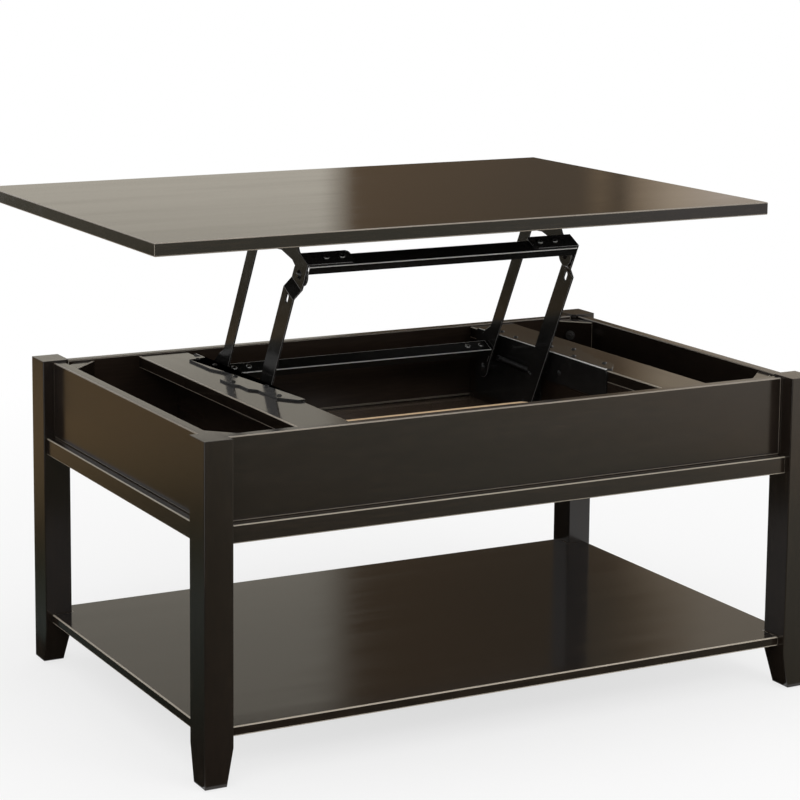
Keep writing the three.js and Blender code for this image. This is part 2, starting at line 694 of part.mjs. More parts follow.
function makeFrontArm(side) {
  const half = FRONT_ARM_WIDTH / 2;
  const ribbon = prism('z', frontArmRibbon(side), -half, half);
  const outline = [
    ...arcPoints(0, 0, half, -Math.PI / 2, Math.PI / 2, 12),
    [-ARM_LENGTH, half], [-(TIP_ALONG - STEEL), TAB_BACK],
    [-TIP_ALONG, TAB_BACK], [-TIP_ALONG, -half],
  ];
  const holes = [
    circle(0, 0, PIVOT_RADIUS + RUNNING_GAP),
    circle(-ARM_LENGTH, 0, PIVOT_RADIUS + RUNNING_GAP),
    slotOutline(ARM_LENGTH - SLOT_SETBACK),
  ];
  const mask = prism('x', outline, side * (TAB_INNER - CUT_OVERRUN), side * (ARM_PLANE + STEEL), { holes });
  const rounded = prism('y', tabOutline(side), -TIP_ALONG - CUT_OVERRUN, half + CUT_OVERRUN);
  const tabHoles = upperRivetPlaces(side).map((x) => rod('y', x, tabMiddle(), BAR_RIVET_RADIUS + FIT_GAP,
    -TIP_ALONG - CUT_OVERRUN, -TIP_ALONG + STEEL + CUT_OVERRUN, SMALL_SIDES));
  return join(cut(common(common(ribbon, mask), rounded), tabHoles), [makeSpringPin(side)]);
}

// Seen along the arm: the tab's inner end has rounded corners
function tabOutline(side) {
  const front = -FRONT_ARM_WIDTH / 2;
  const inner = TAB_INNER + TAB_CORNER;
  const points = [
    [ARM_PLANE + STEEL, front - CUT_OVERRUN], [inner, front - CUT_OVERRUN],
    ...arcPoints(inner, front + TAB_CORNER, TAB_CORNER, -Math.PI / 2, -Math.PI, 4),
    ...arcPoints(inner, TAB_BACK - TAB_CORNER, TAB_CORNER, Math.PI, Math.PI / 2, 4),
    [inner, FRONT_ARM_WIDTH], [ARM_PLANE + STEEL, FRONT_ARM_WIDTH],
  ];
  return points.map(([distance, across]) => [side * distance, across]);
}

// Pin on the front arm that a spring's hook goes round
function makeSpringPin(side) {
  const inner = ARM_PLANE - STEEL / 2;
  const outer = SPRING_PLANE + SPRING_WIRE_RADIUS + SPRING_POST_END;
  const profile = [
    ...dome(BAR_RIVET_HEAD, BAR_RIVET_DOME, inner, -1),
    [BAR_RIVET_HEAD, inner + STEEL / 2], [SPRING_PIN_RADIUS, inner + STEEL / 2],
    [SPRING_PIN_RADIUS, outer], [0, outer],
  ];
  return turnedAcross(side, profile, -SPRING_PIN_ALONG, SPRING_PIN_ACROSS, SMALL_SIDES);
}

// Middle of the front arm's tab, across the arm
function tabMiddle() {
  return (TAB_BACK - FRONT_ARM_WIDTH / 2) / 2;
}

function upperRivetPlaces(side) {
  return [side * UPPER_RIVET_OUTER, side * UPPER_RIVET_INNER];
}

function lowerRivetPlaces(side) {
  return [side * LOWER_RIVET_OUTER, side * LOWER_RIVET_INNER];
}

// Angle section: a wide flange square to the arm, with a lip folded back along the arm's front edge
function angleSection(along, frontEdge, width) {
  const near = -along;
  const far = -(along + BAR_THICKNESS);
  return [
    [far, frontEdge], [far, frontEdge + width], [near, frontEdge + width],
    [near, frontEdge + BAR_THICKNESS], [far + BAR_LIP, frontEdge + BAR_THICKNESS],
    [far + BAR_LIP, frontEdge],
  ];
}

// The upper bar lies between the front arms, under their tabs
function makeUpperBar() {
  const along = TIP_ALONG - STEEL - FIT_GAP - BAR_THICKNESS;
  const front = -FRONT_ARM_WIDTH / 2 - FIT_GAP - BAR_THICKNESS;
  const reach = ARM_TIP_PLANE - STEEL / 2 - FIT_GAP;
  const bar = prism('x', angleSection(along, front, UPPER_BAR_WIDTH), -reach, reach);
  const outer = -TIP_ALONG - FIT_GAP;
  const profile = rivetProfile(outer, outer, -along - BAR_THICKNESS / 2, -along);
  return join(bar, SIDES.flatMap((side) => makeRivets(profile, upperRivetPlaces(side), tabMiddle())));
}

// The lower bar lies over the clips on the rear arms
function makeLowerBar() {
  const front = -CLIP_WIDTH / 2 - FIT_GAP - BAR_THICKNESS;
  const reach = ARM_PLANE - STEEL / 2 - CLIP_THICKNESS - 2 * FIT_GAP;
  const bar = prism('x', angleSection(LOWER_BAR_ALONG, front, LOWER_BAR_WIDTH), -reach, reach);
  const outer = -LOWER_BAR_ALONG - BAR_THICKNESS;
  const inner = -clipAlong() + CLIP_THICKNESS + FIT_GAP;
  const profile = rivetProfile(outer, outer + BAR_THICKNESS / 2, inner, inner);
  return join(bar, SIDES.flatMap((side) => makeRivets(profile, lowerRivetPlaces(side), 0)));
}

// A rivet through a bar and a tab: two heads, and the shank's start and end between them
function rivetProfile(outer, shankStart, shankEnd, inner) {
  return [
    ...dome(BAR_RIVET_HEAD, BAR_RIVET_DOME, outer, -1),
    [BAR_RIVET_HEAD, shankStart], [BAR_RIVET_RADIUS, shankStart],
    [BAR_RIVET_RADIUS, shankEnd], [BAR_RIVET_HEAD, shankEnd],
    ...dome(BAR_RIVET_HEAD, BAR_RIVET_DOME, inner, 1),
  ];
}

function makeRivets(profile, places, across) {
  return places.map((x) => turned('y', profile, SMALL_SIDES).translate(x, 0, across));
}

function clipAlong() {
  return LOWER_BAR_ALONG - FIT_GAP;
}

// Angle clip: one leaf lies on the rear arm's inner face, the other carries the lower bar
function makeBarClip(side) {
  const outer = ARM_PLANE - STEEL / 2 - FIT_GAP;
  const far = clipAlong();
  const ribbon = [
    [outer, far - CLIP_LENGTH], [outer, far], [CLIP_INNER, far], [CLIP_INNER, far - CLIP_THICKNESS],
    [outer - CLIP_THICKNESS, far - CLIP_THICKNESS], [outer - CLIP_THICKNESS, far - CLIP_LENGTH],
  ].map(([distance, along]) => [side * distance, -along]);
  const leaf = prism('z', ribbon, -CLIP_WIDTH / 2, CLIP_WIDTH / 2);
  const holes = lowerRivetPlaces(side).map((x) => rod('y', x, 0, BAR_RIVET_RADIUS + FIT_GAP,
    -far - CUT_OVERRUN, -far + CLIP_THICKNESS + CUT_OVERRUN, SMALL_SIDES));
  return join(cut(leaf, holes), [makeClipRivet(side)]);
}

function clipRivetAlong() {
  return clipAlong() - CLIP_LENGTH / 2 - CLIP_THICKNESS;
}

// Rivet from a clip's leaf through the rear arm
function makeClipRivet(side) {
  const inner = ARM_PLANE - STEEL / 2 - FIT_GAP - CLIP_THICKNESS;
  const middle = inner + CLIP_THICKNESS / 2;
  const outer = ARM_PLANE + STEEL / 2 + FIT_GAP;
  const profile = [
    ...dome(BAR_RIVET_HEAD, BAR_RIVET_DOME, inner, -1),
    [BAR_RIVET_HEAD, middle], [BAR_RIVET_RADIUS, middle], [BAR_RIVET_RADIUS, outer],
    ...dome(BAR_RIVET_HEAD, BAR_RIVET_DOME, outer, 1),
  ];
  return turnedAcross(side, profile, -clipRivetAlong(), 0, SMALL_SIDES);
}

// The ear on the rear arm's back edge, as shares of its length from the pivot and of its reach
const EAR_SHARES = [[0.81, 0.7], [0.52, 1], [0.24, 0.86]];

function makeRearArm(side) {
  const half = REAR_ARM_WIDTH / 2;
  const outline = [
    ...arcPoints(0, 0, REAR_END_RADIUS, -Math.PI / 2, Math.PI / 2, 12).reverse(),
    [-REAR_END_RADIUS, -half],
    ...arcPoints(-ARM_LENGTH, 0, half, -Math.PI / 2, -(3 * Math.PI) / 2, 12),
    [-EAR_LENGTH, half],
    ...EAR_SHARES.map(([lengthShare, reachShare]) => [-lengthShare * EAR_LENGTH, reachShare * EAR_REACH]),
  ];
  const holes = [
    circle(0, 0, PIVOT_RADIUS + RUNNING_GAP),
    circle(-ARM_LENGTH, 0, PIVOT_RADIUS + 2 * RUNNING_GAP),
    circle(-clipRivetAlong(), 0, BAR_RIVET_RADIUS + FIT_GAP, SMALL_SIDES),
  ];
  return prism('x', outline, side * (ARM_PLANE - STEEL / 2), side * (ARM_PLANE + STEEL / 2), { holes });
}

// Front and rear pivots of the top, counted from the front one
function topPivotPlaces() {
  return [[0, 0], [REAR_PIVOT_BACK, REAR_PIVOT_RISE]];
}

// Side view of the top bracket: shares of the pivots' distance backwards and of the drop upwards
const TOP_FRONT_EDGE_SHARES = [[-0.06, 0.32], [0.07, 0.52], [0.13, 0.75]];
const TOP_BACK_EDGE_SHARES = [[0.52, 0.44], [0.24, 0.28]];
const TOP_SCREW_SHARES = [[0.2, 0.5], [0.5, 0.35], [0.8, 0.5], [1.08, 0.35]];

function topPlateOutline() {
  const scale = ([backShare, upShare]) => [backShare * REAR_PIVOT_BACK, upShare * TOP_PIVOT_DROP];
  const top = TOP_PIVOT_DROP - FIT_GAP;
  const flangeBack = REAR_PIVOT_BACK + TOP_FLANGE_BACK;
  return [
    ...arcPoints(0, 0, TOP_EYE_RADIUS, Math.PI * 0.85, Math.PI * 2.1, 14),
    ...TOP_BACK_EDGE_SHARES.map(scale).reverse(),
    ...arcPoints(REAR_PIVOT_BACK, REAR_PIVOT_RISE, TOP_LUG_RADIUS, Math.PI * 1.35, Math.PI * 2, 8),
    [flangeBack, top],
    [scale(TOP_FRONT_EDGE_SHARES.at(-1))[0], top],
    ...TOP_FRONT_EDGE_SHARES.map(scale).reverse(),
  ];
}

function topScrewPlaces(side) {
  const outer = TOP_PLATE_PLANE - STEEL / 2;
  return TOP_SCREW_SHARES.map(([backShare, widthShare]) => [
    side * (outer - widthShare * TOP_FLANGE_WIDTH), backShare * REAR_PIVOT_BACK,
  ]);
}

function makeTopBracket(side) {
  const inner = TOP_PLATE_PLANE - STEEL / 2;
  const outer = TOP_PLATE_PLANE + STEEL / 2;
  const holes = topPivotPlaces().map(([y, z]) => circle(y, z, PIVOT_RADIUS + RUNNING_GAP));
  const plate = prism('x', topPlateOutline(), side * inner, side * outer, { holes });
  const front = TOP_FRONT_EDGE_SHARES.at(-1)[0] * REAR_PIVOT_BACK;
  const back = REAR_PIVOT_BACK + TOP_FLANGE_BACK;
  const flangeOutline = rounded([
    [side * outer, front, 0], [side * outer, back, 0],
    [side * (inner - TOP_FLANGE_WIDTH), back, BRACKET_CORNER],
    [side * (inner - TOP_FLANGE_WIDTH), front, BRACKET_CORNER],
  ]);
  const top = TOP_PIVOT_DROP - FIT_GAP;
  const flange = prism('z', flangeOutline, top - STEEL, top);
  const screws = topScrewPlaces(side).map(([x, y]) => (
    turned('z', screwProfile(top - STEEL, -1, SCREW_LENGTH), SMALL_SIDES).translate(x, y, 0)));
  return join(plate, [flange, ...screws]);
}

// Shouldered pin through a top bracket and an arm's tip, with a head at each end
function makeUpperPin(side, [y, z], armPlane) {
  const inner = TOP_PLATE_PLANE - STEEL / 2 - RUNNING_GAP;
  const shoulder = TOP_PLATE_PLANE + STEEL / 2 + RUNNING_GAP;
  const seat = armPlane - STEEL / 2 - RUNNING_GAP;
  const outer = armPlane + STEEL / 2 + RUNNING_GAP;
  const profile = [
    ...dome(RIVET_HEAD_RADIUS, RIVET_HEAD_HEIGHT, inner, -1),
    [PIVOT_RADIUS, inner], [PIVOT_RADIUS, shoulder], [BUSH_RADIUS, shoulder], [BUSH_RADIUS, seat],
    [PIVOT_RADIUS, seat], [PIVOT_RADIUS, outer],
    ...dome(RIVET_HEAD_RADIUS, RIVET_HEAD_HEIGHT, outer, 1),
  ];
  return turnedAcross(side, profile, y, z);
}

function makeTopPanel() {
  const front = TOP_TRAVEL - TOP_PIVOT_Y - TOP_DEPTH / 2;
  const outline = rectangle(-TOP_LENGTH / 2, TOP_LENGTH / 2, front, front + TOP_DEPTH);
  const panel = prism('z', outline, TOP_PIVOT_DROP, TOP_PIVOT_DROP + TOP_THICKNESS, { chamfer: ARRIS });
  const depth = SCREW_LENGTH - STEEL;
  const holes = SIDES.flatMap((side) => topScrewPlaces(side).map(([x, y]) => rod('z', x, y,
    SCREW_RADIUS + FIT_GAP, TOP_PIVOT_DROP - CUT_OVERRUN, TOP_PIVOT_DROP + depth, SMALL_SIDES)));
  return cut(panel, holes);
}

// Wire route of a spring of a given length: a hook, the coil and a hook, along +y
function springRoute(length) {
  const points = [];
  const hookSteps = 8;
  for (let i = 0; i <= hookSteps; i += 1) {
    const angle = Math.PI / 2 + HOOK_SWEEP * (1 - i / hookSteps);
    points.push([0, SPRING_COIL_RADIUS * Math.cos(angle), SPRING_COIL_RADIUS * Math.sin(angle)]);
  }
  const coilLength = length - 2 * SPRING_LEAD;
  const steps = SPRING_TURNS * TURN_STEPS;
  for (let i = 0; i <= steps; i += 1) {
    const angle = (2 * Math.PI * i) / TURN_STEPS;
    points.push([
      SPRING_COIL_RADIUS * Math.sin(angle), SPRING_LEAD + (coilLength * i) / steps,
      SPRING_COIL_RADIUS * Math.cos(angle),
    ]);
  }
  for (let i = 0; i <= hookSteps; i += 1) {
    const angle = Math.PI / 2 - (HOOK_SWEEP * i) / hookSteps;
    points.push([0, length + SPRING_COIL_RADIUS * Math.cos(angle), SPRING_COIL_RADIUS * Math.sin(angle)]);
  }
  return points.map((point) => new THREE.Vector3(...point));
}

// A wire of a few sides swept along points, its section carried along without twisting
function makeWire(route, radius) {
  const tangents = route.map((point, i) => {
    const next = route[Math.min(i + 1, route.length - 1)];
    const last = route[Math.max(i - 1, 0)];
    return next.clone().sub(last).normalize();
  });
  const across = new THREE.Vector3(1, 0, 0);
  const vertices = [];
  route.forEach((point, i) => {
    across.addScaledVector(tangents[i], -across.dot(tangents[i])).normalize();
    const other = tangents[i].clone().cross(across);
    for (let k = 0; k < WIRE_SIDES; k += 1) {
      const angle = (2 * Math.PI * k) / WIRE_SIDES;
      vertices.push(point.clone()
        .addScaledVector(across, radius * Math.cos(angle))
        .addScaledVector(other, radius * Math.sin(angle)));
    }
  });
  const index = [];
  for (let i = 0; i + 1 < route.length; i += 1) {
    for (let k = 0; k < WIRE_SIDES; k += 1) {
      const a = i * WIRE_SIDES + k;
      const b = i * WIRE_SIDES + ((k + 1) % WIRE_SIDES);
      index.push(a, b, b + WIRE_SIDES, a, b + WIRE_SIDES, a + WIRE_SIDES);
    }
  }
  const last = (route.length - 1) * WIRE_SIDES;
  for (let k = 1; k + 1 < WIRE_SIDES; k += 1) index.push(0, k + 1, k, last, last + k, last + k + 1);
  const geometry = new THREE.BufferGeometry().setFromPoints(vertices);
  geometry.setIndex(index);
  geometry.computeVertexNormals();
  return geometry;
}

// Least gap of the wire to itself, between points further apart than a half turn of wire
function leastGap(route, radius) {
  let least = Infinity;
  for (let i = 0; i < route.length; i += 1) {
    for (let k = i + TURN_STEPS / 2; k < route.length; k += 1) {
      least = Math.min(least, route[i].distanceTo(route[k]) - 2 * radius);
    }
  }
  return least;
}

// A point on a raised arm, given along it and across it from its lower pivot
function onRaisedArm(pivotY, pivotZ, along, across) {
  return {
    y: pivotY - along * Math.cos(RAISED_ANGLE) + across * Math.sin(RAISED_ANGLE),
    z: pivotZ + along * Math.sin(RAISED_ANGLE) + across * Math.cos(RAISED_ANGLE),
  };
}

function makeSpring(side) {
  const start = onRaisedArm(FRONT_PIVOT_Y, FRONT_PIVOT_Z, SPRING_PIN_ALONG, SPRING_PIN_ACROSS);
  const rise = SPRING_POST_Z - start.z;
  const run = SPRING_POST_Y - start.y;
  const route = springRoute(Math.hypot(run, rise));
  const mesh = node(`spring_${sideName(side)}`, makeWire(route, SPRING_WIRE_RADIUS), 'springSteel');
  mesh.position.set(side * SPRING_PLANE, start.y, start.z);
  mesh.rotation.x = Math.atan2(rise, run);
  const gap = leastGap(route, SPRING_WIRE_RADIUS);
  if (side > 0) console.log('least gap of a spring to itself', gap.toFixed(2));
  return mesh;
}

function buildBase() {
  const base = new THREE.Group();
  for (const corner of CORNERS) {
    base.add(node(`leg_${corner.name}`, makeLeg(corner), 'lacquer'));
    base.add(node(`foot_glide_${corner.name}`, makeGlide(corner), 'nylon'));
    base.add(node(`shelf_dowel_${corner.name}`, makeShelfDowel(corner), 'rawPine'));
    base.add(node(`corner_block_${corner.name}`, makeCornerBlock(corner), 'lacquer'));
    base.add(node(`corner_bolt_${corner.name}`, makeCornerBolt(corner), 'zincSteel'));
  }
  base.add(node('front_apron', makeFrontApron(-1), 'lacquer'));
  base.add(node('rear_apron', makeFrontApron(1), 'lacquer'));
  base.add(node('front_rail', makeFrontRail(-1), 'lacquer'));
  base.add(node('rear_rail', makeFrontRail(1), 'lacquer'));
  for (const side of SIDES) {
    base.add(node(`${sideName(side)}_apron`, makeSideApron(side), 'lacquer'));
    base.add(node(`${sideName(side)}_rail`, makeSideRail(side), 'lacquer'));
    base.add(node(`divider_${sideName(side)}`, makeDivider(side), 'wellBoard'));
    base.add(node(`divider_cap_${sideName(side)}`, makeCap(side), 'lacquer'));
    base.add(node(`base_bracket_${sideName(side)}`, makeBaseBracket(side), 'blackSteel'));
    const [front, rear] = pivotPlaces();
    base.add(node(`lower_front_pin_${sideName(side)}`, makeLowerPin(side, front), 'blackSteel'));
    base.add(node(`lower_rear_pin_${sideName(side)}`, makeLowerPin(side, rear), 'blackSteel'));
    base.add(makeSpring(side));
  }
  base.add(node('well_floor', makeWellFloor(), 'wellBoard'));
  base.add(node('front_cleat', makeCleat(), 'rawPine'));
  base.add(node('shelf', makeShelf(), 'lacquer'));
  return base;
}

function placeAtPivot(group, [y, z]) {
  group.position.set(0, y, z);
  group.rotation.x = -RAISED_ANGLE;
  return group;
}

function buildFrontArms() {
  const arms = new THREE.Group();
  for (const side of SIDES) arms.add(node(`front_arm_${sideName(side)}`, makeFrontArm(side), 'blackSteel'));
  arms.add(node('upper_cross_bar', makeUpperBar(), 'blackSteel'));
  return placeAtPivot(arms, pivotPlaces()[0]);
}

function buildRearArms() {
  const arms = new THREE.Group();
  for (const side of SIDES) {
    arms.add(node(`rear_arm_${sideName(side)}`, makeRearArm(side), 'blackSteel'));
    arms.add(node(`lower_bar_clip_${sideName(side)}`, makeBarClip(side), 'blackSteel'));
  }
  arms.add(node('lower_cross_bar', makeLowerBar(), 'blackSteel'));
  return placeAtPivot(arms, pivotPlaces()[1]);
}

// The top's pieces are drawn from its front pivot
function buildTop() {
  const top = new THREE.Group();
  const [front, rear] = topPivotPlaces();
  top.add(node('top_panel', makeTopPanel(), 'topLacquer'));
  for (const side of SIDES) {
    const frontPin = makeUpperPin(side, front, ARM_TIP_PLANE);
    const rearPin = makeUpperPin(side, rear, ARM_PLANE);
    top.add(node(`top_bracket_${sideName(side)}`, makeTopBracket(side), 'blackSteel'));
    top.add(node(`upper_front_pin_${sideName(side)}`, frontPin, 'blackSteel'));
    top.add(node(`upper_rear_pin_${sideName(side)}`, rearPin, 'blackSteel'));
  }
  top.position.set(0, TOP_PIVOT_Y, RAISED_UNDERSIDE - TOP_PIVOT_DROP);
  return top;
}

const table = new THREE.Group();
table.add(buildBase(), buildFrontArms(), buildRearArms(), buildTop());
table.position.y = -FRAME_MIDDLE_Y;

export default table;
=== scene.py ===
# %% [markdown]
# # A lift-top coffee table, dressed in Blender
# The table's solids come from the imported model, which is loaded here as a fixed frame. Every object is in
# metres and already stands where it belongs, so this lesson only gives the pieces their soft edges, their
# small fastenings and their finishes, and then sets up a plain studio around them. Blender's usual view
# transform would grey the whites, and the Standard one shows each colour about as it is written.

# %% Load the frame
import json
import math

import bmesh
import bpy
from mathutils import Matrix, Vector


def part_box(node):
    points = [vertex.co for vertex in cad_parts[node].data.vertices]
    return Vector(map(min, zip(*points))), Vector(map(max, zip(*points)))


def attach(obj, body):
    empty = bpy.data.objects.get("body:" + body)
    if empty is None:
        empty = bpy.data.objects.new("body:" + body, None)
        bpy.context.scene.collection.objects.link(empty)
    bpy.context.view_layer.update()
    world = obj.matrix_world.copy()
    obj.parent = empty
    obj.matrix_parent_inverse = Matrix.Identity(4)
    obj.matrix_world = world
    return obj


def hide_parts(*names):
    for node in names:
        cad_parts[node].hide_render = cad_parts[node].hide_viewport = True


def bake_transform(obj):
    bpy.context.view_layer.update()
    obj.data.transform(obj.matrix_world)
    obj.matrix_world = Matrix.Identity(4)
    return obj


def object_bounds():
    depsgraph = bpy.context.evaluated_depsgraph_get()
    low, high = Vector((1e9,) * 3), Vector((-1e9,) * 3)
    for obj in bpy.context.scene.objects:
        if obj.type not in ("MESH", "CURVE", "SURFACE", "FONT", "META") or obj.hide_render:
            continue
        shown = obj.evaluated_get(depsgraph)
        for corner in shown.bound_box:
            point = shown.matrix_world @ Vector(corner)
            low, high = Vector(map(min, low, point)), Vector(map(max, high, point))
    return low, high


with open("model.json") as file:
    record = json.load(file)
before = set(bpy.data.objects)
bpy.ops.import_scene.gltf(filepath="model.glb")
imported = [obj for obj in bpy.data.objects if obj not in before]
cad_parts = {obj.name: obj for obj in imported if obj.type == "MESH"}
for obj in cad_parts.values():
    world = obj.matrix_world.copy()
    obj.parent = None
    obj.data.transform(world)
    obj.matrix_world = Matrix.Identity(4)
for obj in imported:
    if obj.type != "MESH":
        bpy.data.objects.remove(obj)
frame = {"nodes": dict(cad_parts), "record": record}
cad_low, cad_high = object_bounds()
nodes = frame["nodes"]
record = frame["record"]
body_of_node = {node: body for body, members in record["behaviour"]["bodies"].items() for node in members}
scene = bpy.context.scene
scene.view_settings.view_transform = "Standard"
SIDES = ("left", "right")
CORNERS = ("front_left", "front_right", "rear_left", "rear_right")
MM = 0.001
print("solids:", len(nodes), "box in metres:", [round(b - a, 3) for a, b in zip(cad_low, cad_high)])

# %% [markdown]
# ## The camera
# The photograph was taken with a long lens from the table's front left, a little above the raised top. Such
# a camera could be placed by eye, until the edges seem to agree. This one was worked out from where the
# legs, rails, shelf and top lie in the photograph, so that only the table itself is left to compare. A
# small lens shift takes the table to its place in the frame without tilting the camera, which keeps the
# legs upright.

# %% Camera
IMAGE_SIZE = 800
FOCAL_PIXELS = 2449.5
CENTRE_PIXEL = (330.25, 250.0)
CAMERA_PLACE = Vector((-1.9970, -3.6836, 1.3553))
CAMERA_AZIMUTH, CAMERA_ELEVATION, CAMERA_ROLL = (math.radians(a) for a in (-27.017, 8.545, 0.298))
SENSOR = 36.0
FURTHEST = 100.0


def add_camera():
    data = bpy.data.cameras.new("camera")
    data.sensor_width = SENSOR
    data.lens = FOCAL_PIXELS / IMAGE_SIZE * SENSOR
    data.shift_x = 0.5 - CENTRE_PIXEL[0] / IMAGE_SIZE
    data.shift_y = CENTRE_PIXEL[1] / IMAGE_SIZE - 0.5
    data.clip_end = FURTHEST
    camera = bpy.data.objects.new("camera", data)
    scene.collection.objects.link(camera)
    turn = Matrix.Rotation(CAMERA_AZIMUTH, 3, "Z") @ Matrix.Rotation(math.pi / 2 - CAMERA_ELEVATION, 3, "X")
    turn = turn @ Matrix.Rotation(CAMERA_ROLL, 3, "Z")
    camera.matrix_world = Matrix.Translation(CAMERA_PLACE) @ turn.to_4x4()
    return camera


scene.camera = add_camera()
print("lens in mm:", round(scene.camera.data.lens, 1))

# %% [markdown]
# ## Node trees
# Materials and repeated shapes are both trees of nodes. They could be drawn by hand in Blender's editors,
# but a script says what it does and gives the same tree each time. A few small helpers keep it readable:
# they add a node and fill its sockets by name, join outputs to inputs, and start a group with named inputs.

# %% Helpers: nodes, links and groups
FLOAT, COLOUR, VECTOR = "NodeSocketFloat", "NodeSocketColor", "NodeSocketVector"
GEOMETRY, MATERIAL = "NodeSocketGeometry", "NodeSocketMaterial"


def add_node(tree, kind, settings=(), **inputs):
    made = tree.nodes.new(kind)
    for name, value in dict(settings).items():
        setattr(made, name, value)
    for name, value in inputs.items():
        made.inputs[name.replace("_", " ")].default_value = value
    return made


def join_nodes(tree, *pairs):
    for output, target in pairs:
        tree.links.new(output, target)


def add_group(name, inputs, outputs, kind="ShaderNodeTree"):
    group = bpy.data.node_groups.new(name, kind)
    for direction, sockets in (("INPUT", inputs), ("OUTPUT", outputs)):
        for socket, socket_type in sockets.items():
            group.interface.new_socket(socket, in_out=direction, socket_type=socket_type)
    print("group:", name, "with inputs", list(inputs))
    return group, group.nodes.new("NodeGroupInput"), group.nodes.new("NodeGroupOutput")


# %% Helpers: noise, ranges and mixes
def mix_colours(tree, factor, first, second):
    mix = add_node(tree, "ShaderNodeMix", {"data_type": "RGBA"})
    a, b = [socket for socket in mix.inputs if socket.type == "RGBA"]
    join_nodes(tree, (factor, mix.inputs["Factor"]), (first, a), (second, b))
    return next(socket for socket in mix.outputs if socket.type == "RGBA")


def add_noise(tree, vector, scale, detail=2.0, roughness=0.5):
    noise = add_node(tree, "ShaderNodeTexNoise", Scale=scale, Detail=detail, Roughness=roughness)
    tree.links.new(vector, noise.inputs["Vector"])
    return noise.outputs["Fac"]


def remap(tree, value, low, high, to_low=0.0, to_high=1.0):
    made = add_node(tree, "ShaderNodeMapRange", From_Min=low, From_Max=high, To_Min=to_low, To_Max=to_high)
    tree.links.new(value, made.inputs["Value"])
    return made.outputs["Result"]


def combine(tree, operation, first, second):
    made = add_node(tree, "ShaderNodeMath", {"operation": operation})
    join_nodes(tree, (first, made.inputs[0]), (second, made.inputs[1]))
    return made.outputs[0]


# %% [markdown]
# ## Stained wood under lacquer
# Every board is stained espresso and lacquered. The stain hides most of the grain, so what is left is a
# faint streak along each board, soft patches where the stain took more or less, and pores that dimple the
# lacquer. A picture of wood would repeat and blur. The group below makes all three from noise that is
# stretched along the grain. It is built once, and each material places it with its own direction and
# colours.

# %% Shader group: stained grain
STREAK_NOISE = {"scale": 22.0, "detail": 6.0, "roughness": 0.62}
PATCH_SCALE = 2.2
PORE_SCALE = 160.0
STREAK_RANGE = (0.42, 0.72)
PORE_RANGE = (0.3, 0.42)
PATCH_RANGE = (0.3, 0.7)
PATCH_SHEEN = (-0.03, 0.05)
FINISH_OUTPUTS = {"Color": COLOUR, "Roughness": FLOAT, "Height": FLOAT}


def make_grain_group():
    group, start, end = add_group(
        "stained grain", {"Vector": VECTOR, "Stain": COLOUR, "Streak": COLOUR, "Streak Share": FLOAT,
                          "Sheen Roughness": FLOAT, "Pore Depth": FLOAT}, FINISH_OUTPUTS)
    vector = start.outputs["Vector"]
    streaks = remap(group, add_noise(group, vector, **STREAK_NOISE), *STREAK_RANGE)
    patches = add_noise(group, vector, PATCH_SCALE)
    pores = remap(group, add_noise(group, vector, PORE_SCALE), *PORE_RANGE)
    share = combine(group, "MULTIPLY", streaks, start.outputs["Streak Share"])
    share = combine(group, "MULTIPLY", share, patches)
    colour = mix_colours(group, share, start.outputs["Stain"], start.outputs["Streak"])
    worn = remap(group, patches, *PATCH_RANGE, *PATCH_SHEEN)
    join_nodes(
        group, (colour, end.inputs["Color"]),
        (combine(group, "ADD", worn, start.outputs["Sheen Roughness"]), end.inputs["Roughness"]),
        (combine(group, "MULTIPLY", pores, start.outputs["Pore Depth"]), end.inputs["Height"]))
    return group


GRAIN = make_grain_group()

# %% Helpers: materials that place a group
GRAIN_SCALE = {"x": (1, 12, 12), "y": (12, 1, 12), "z": (12, 12, 1)}
BUMP_STRENGTH = 0.25
BUMP_HEIGHT = 0.1 * MM
STREAK_SHARE = 0.6
SATIN_PORE = 0.5
GLOSS_PORE = 0.25


def start_finish(name, group, scale, **values):
    """A material whose group's outputs feed colour, roughness and a bump"""
    material = bpy.data.materials.new(name)
    material.use_nodes = True
    tree = material.node_tree
    shader = tree.nodes["Principled BSDF"]
    place = add_node(tree, "ShaderNodeTexCoord")
    stretch = add_node(tree, "ShaderNodeMapping", Scale=scale)
    effect = add_node(tree, "ShaderNodeGroup", {"node_tree": group}, **values)
    bump = add_node(tree, "ShaderNodeBump", Strength=BUMP_STRENGTH, Distance=BUMP_HEIGHT)
    join_nodes(
        tree, (place.outputs["Object"], stretch.inputs["Vector"]),
        (stretch.outputs["Vector"], effect.inputs["Vector"]),
        (effect.outputs["Color"], shader.inputs["Base Color"]),
        (effect.outputs["Roughness"], shader.inputs["Roughness"]),
        (effect.outputs["Height"], bump.inputs["Height"]),
        (bump.outputs["Normal"], shader.inputs["Normal"]))
    return material, shader


def wood_finish(name, along, colours, roughness, pore=SATIN_PORE, specular=0.5, share=STREAK_SHARE):
    stain, streak = colours
    material, shader = start_finish(
        name, GRAIN, GRAIN_SCALE[along], Stain=(*stain, 1), Streak=(*streak, 1), Streak_Share=share,
        Sheen_Roughness=roughness, Pore_Depth=pore)
    shader.inputs["Specular IOR Level"].default_value = specular
    return material
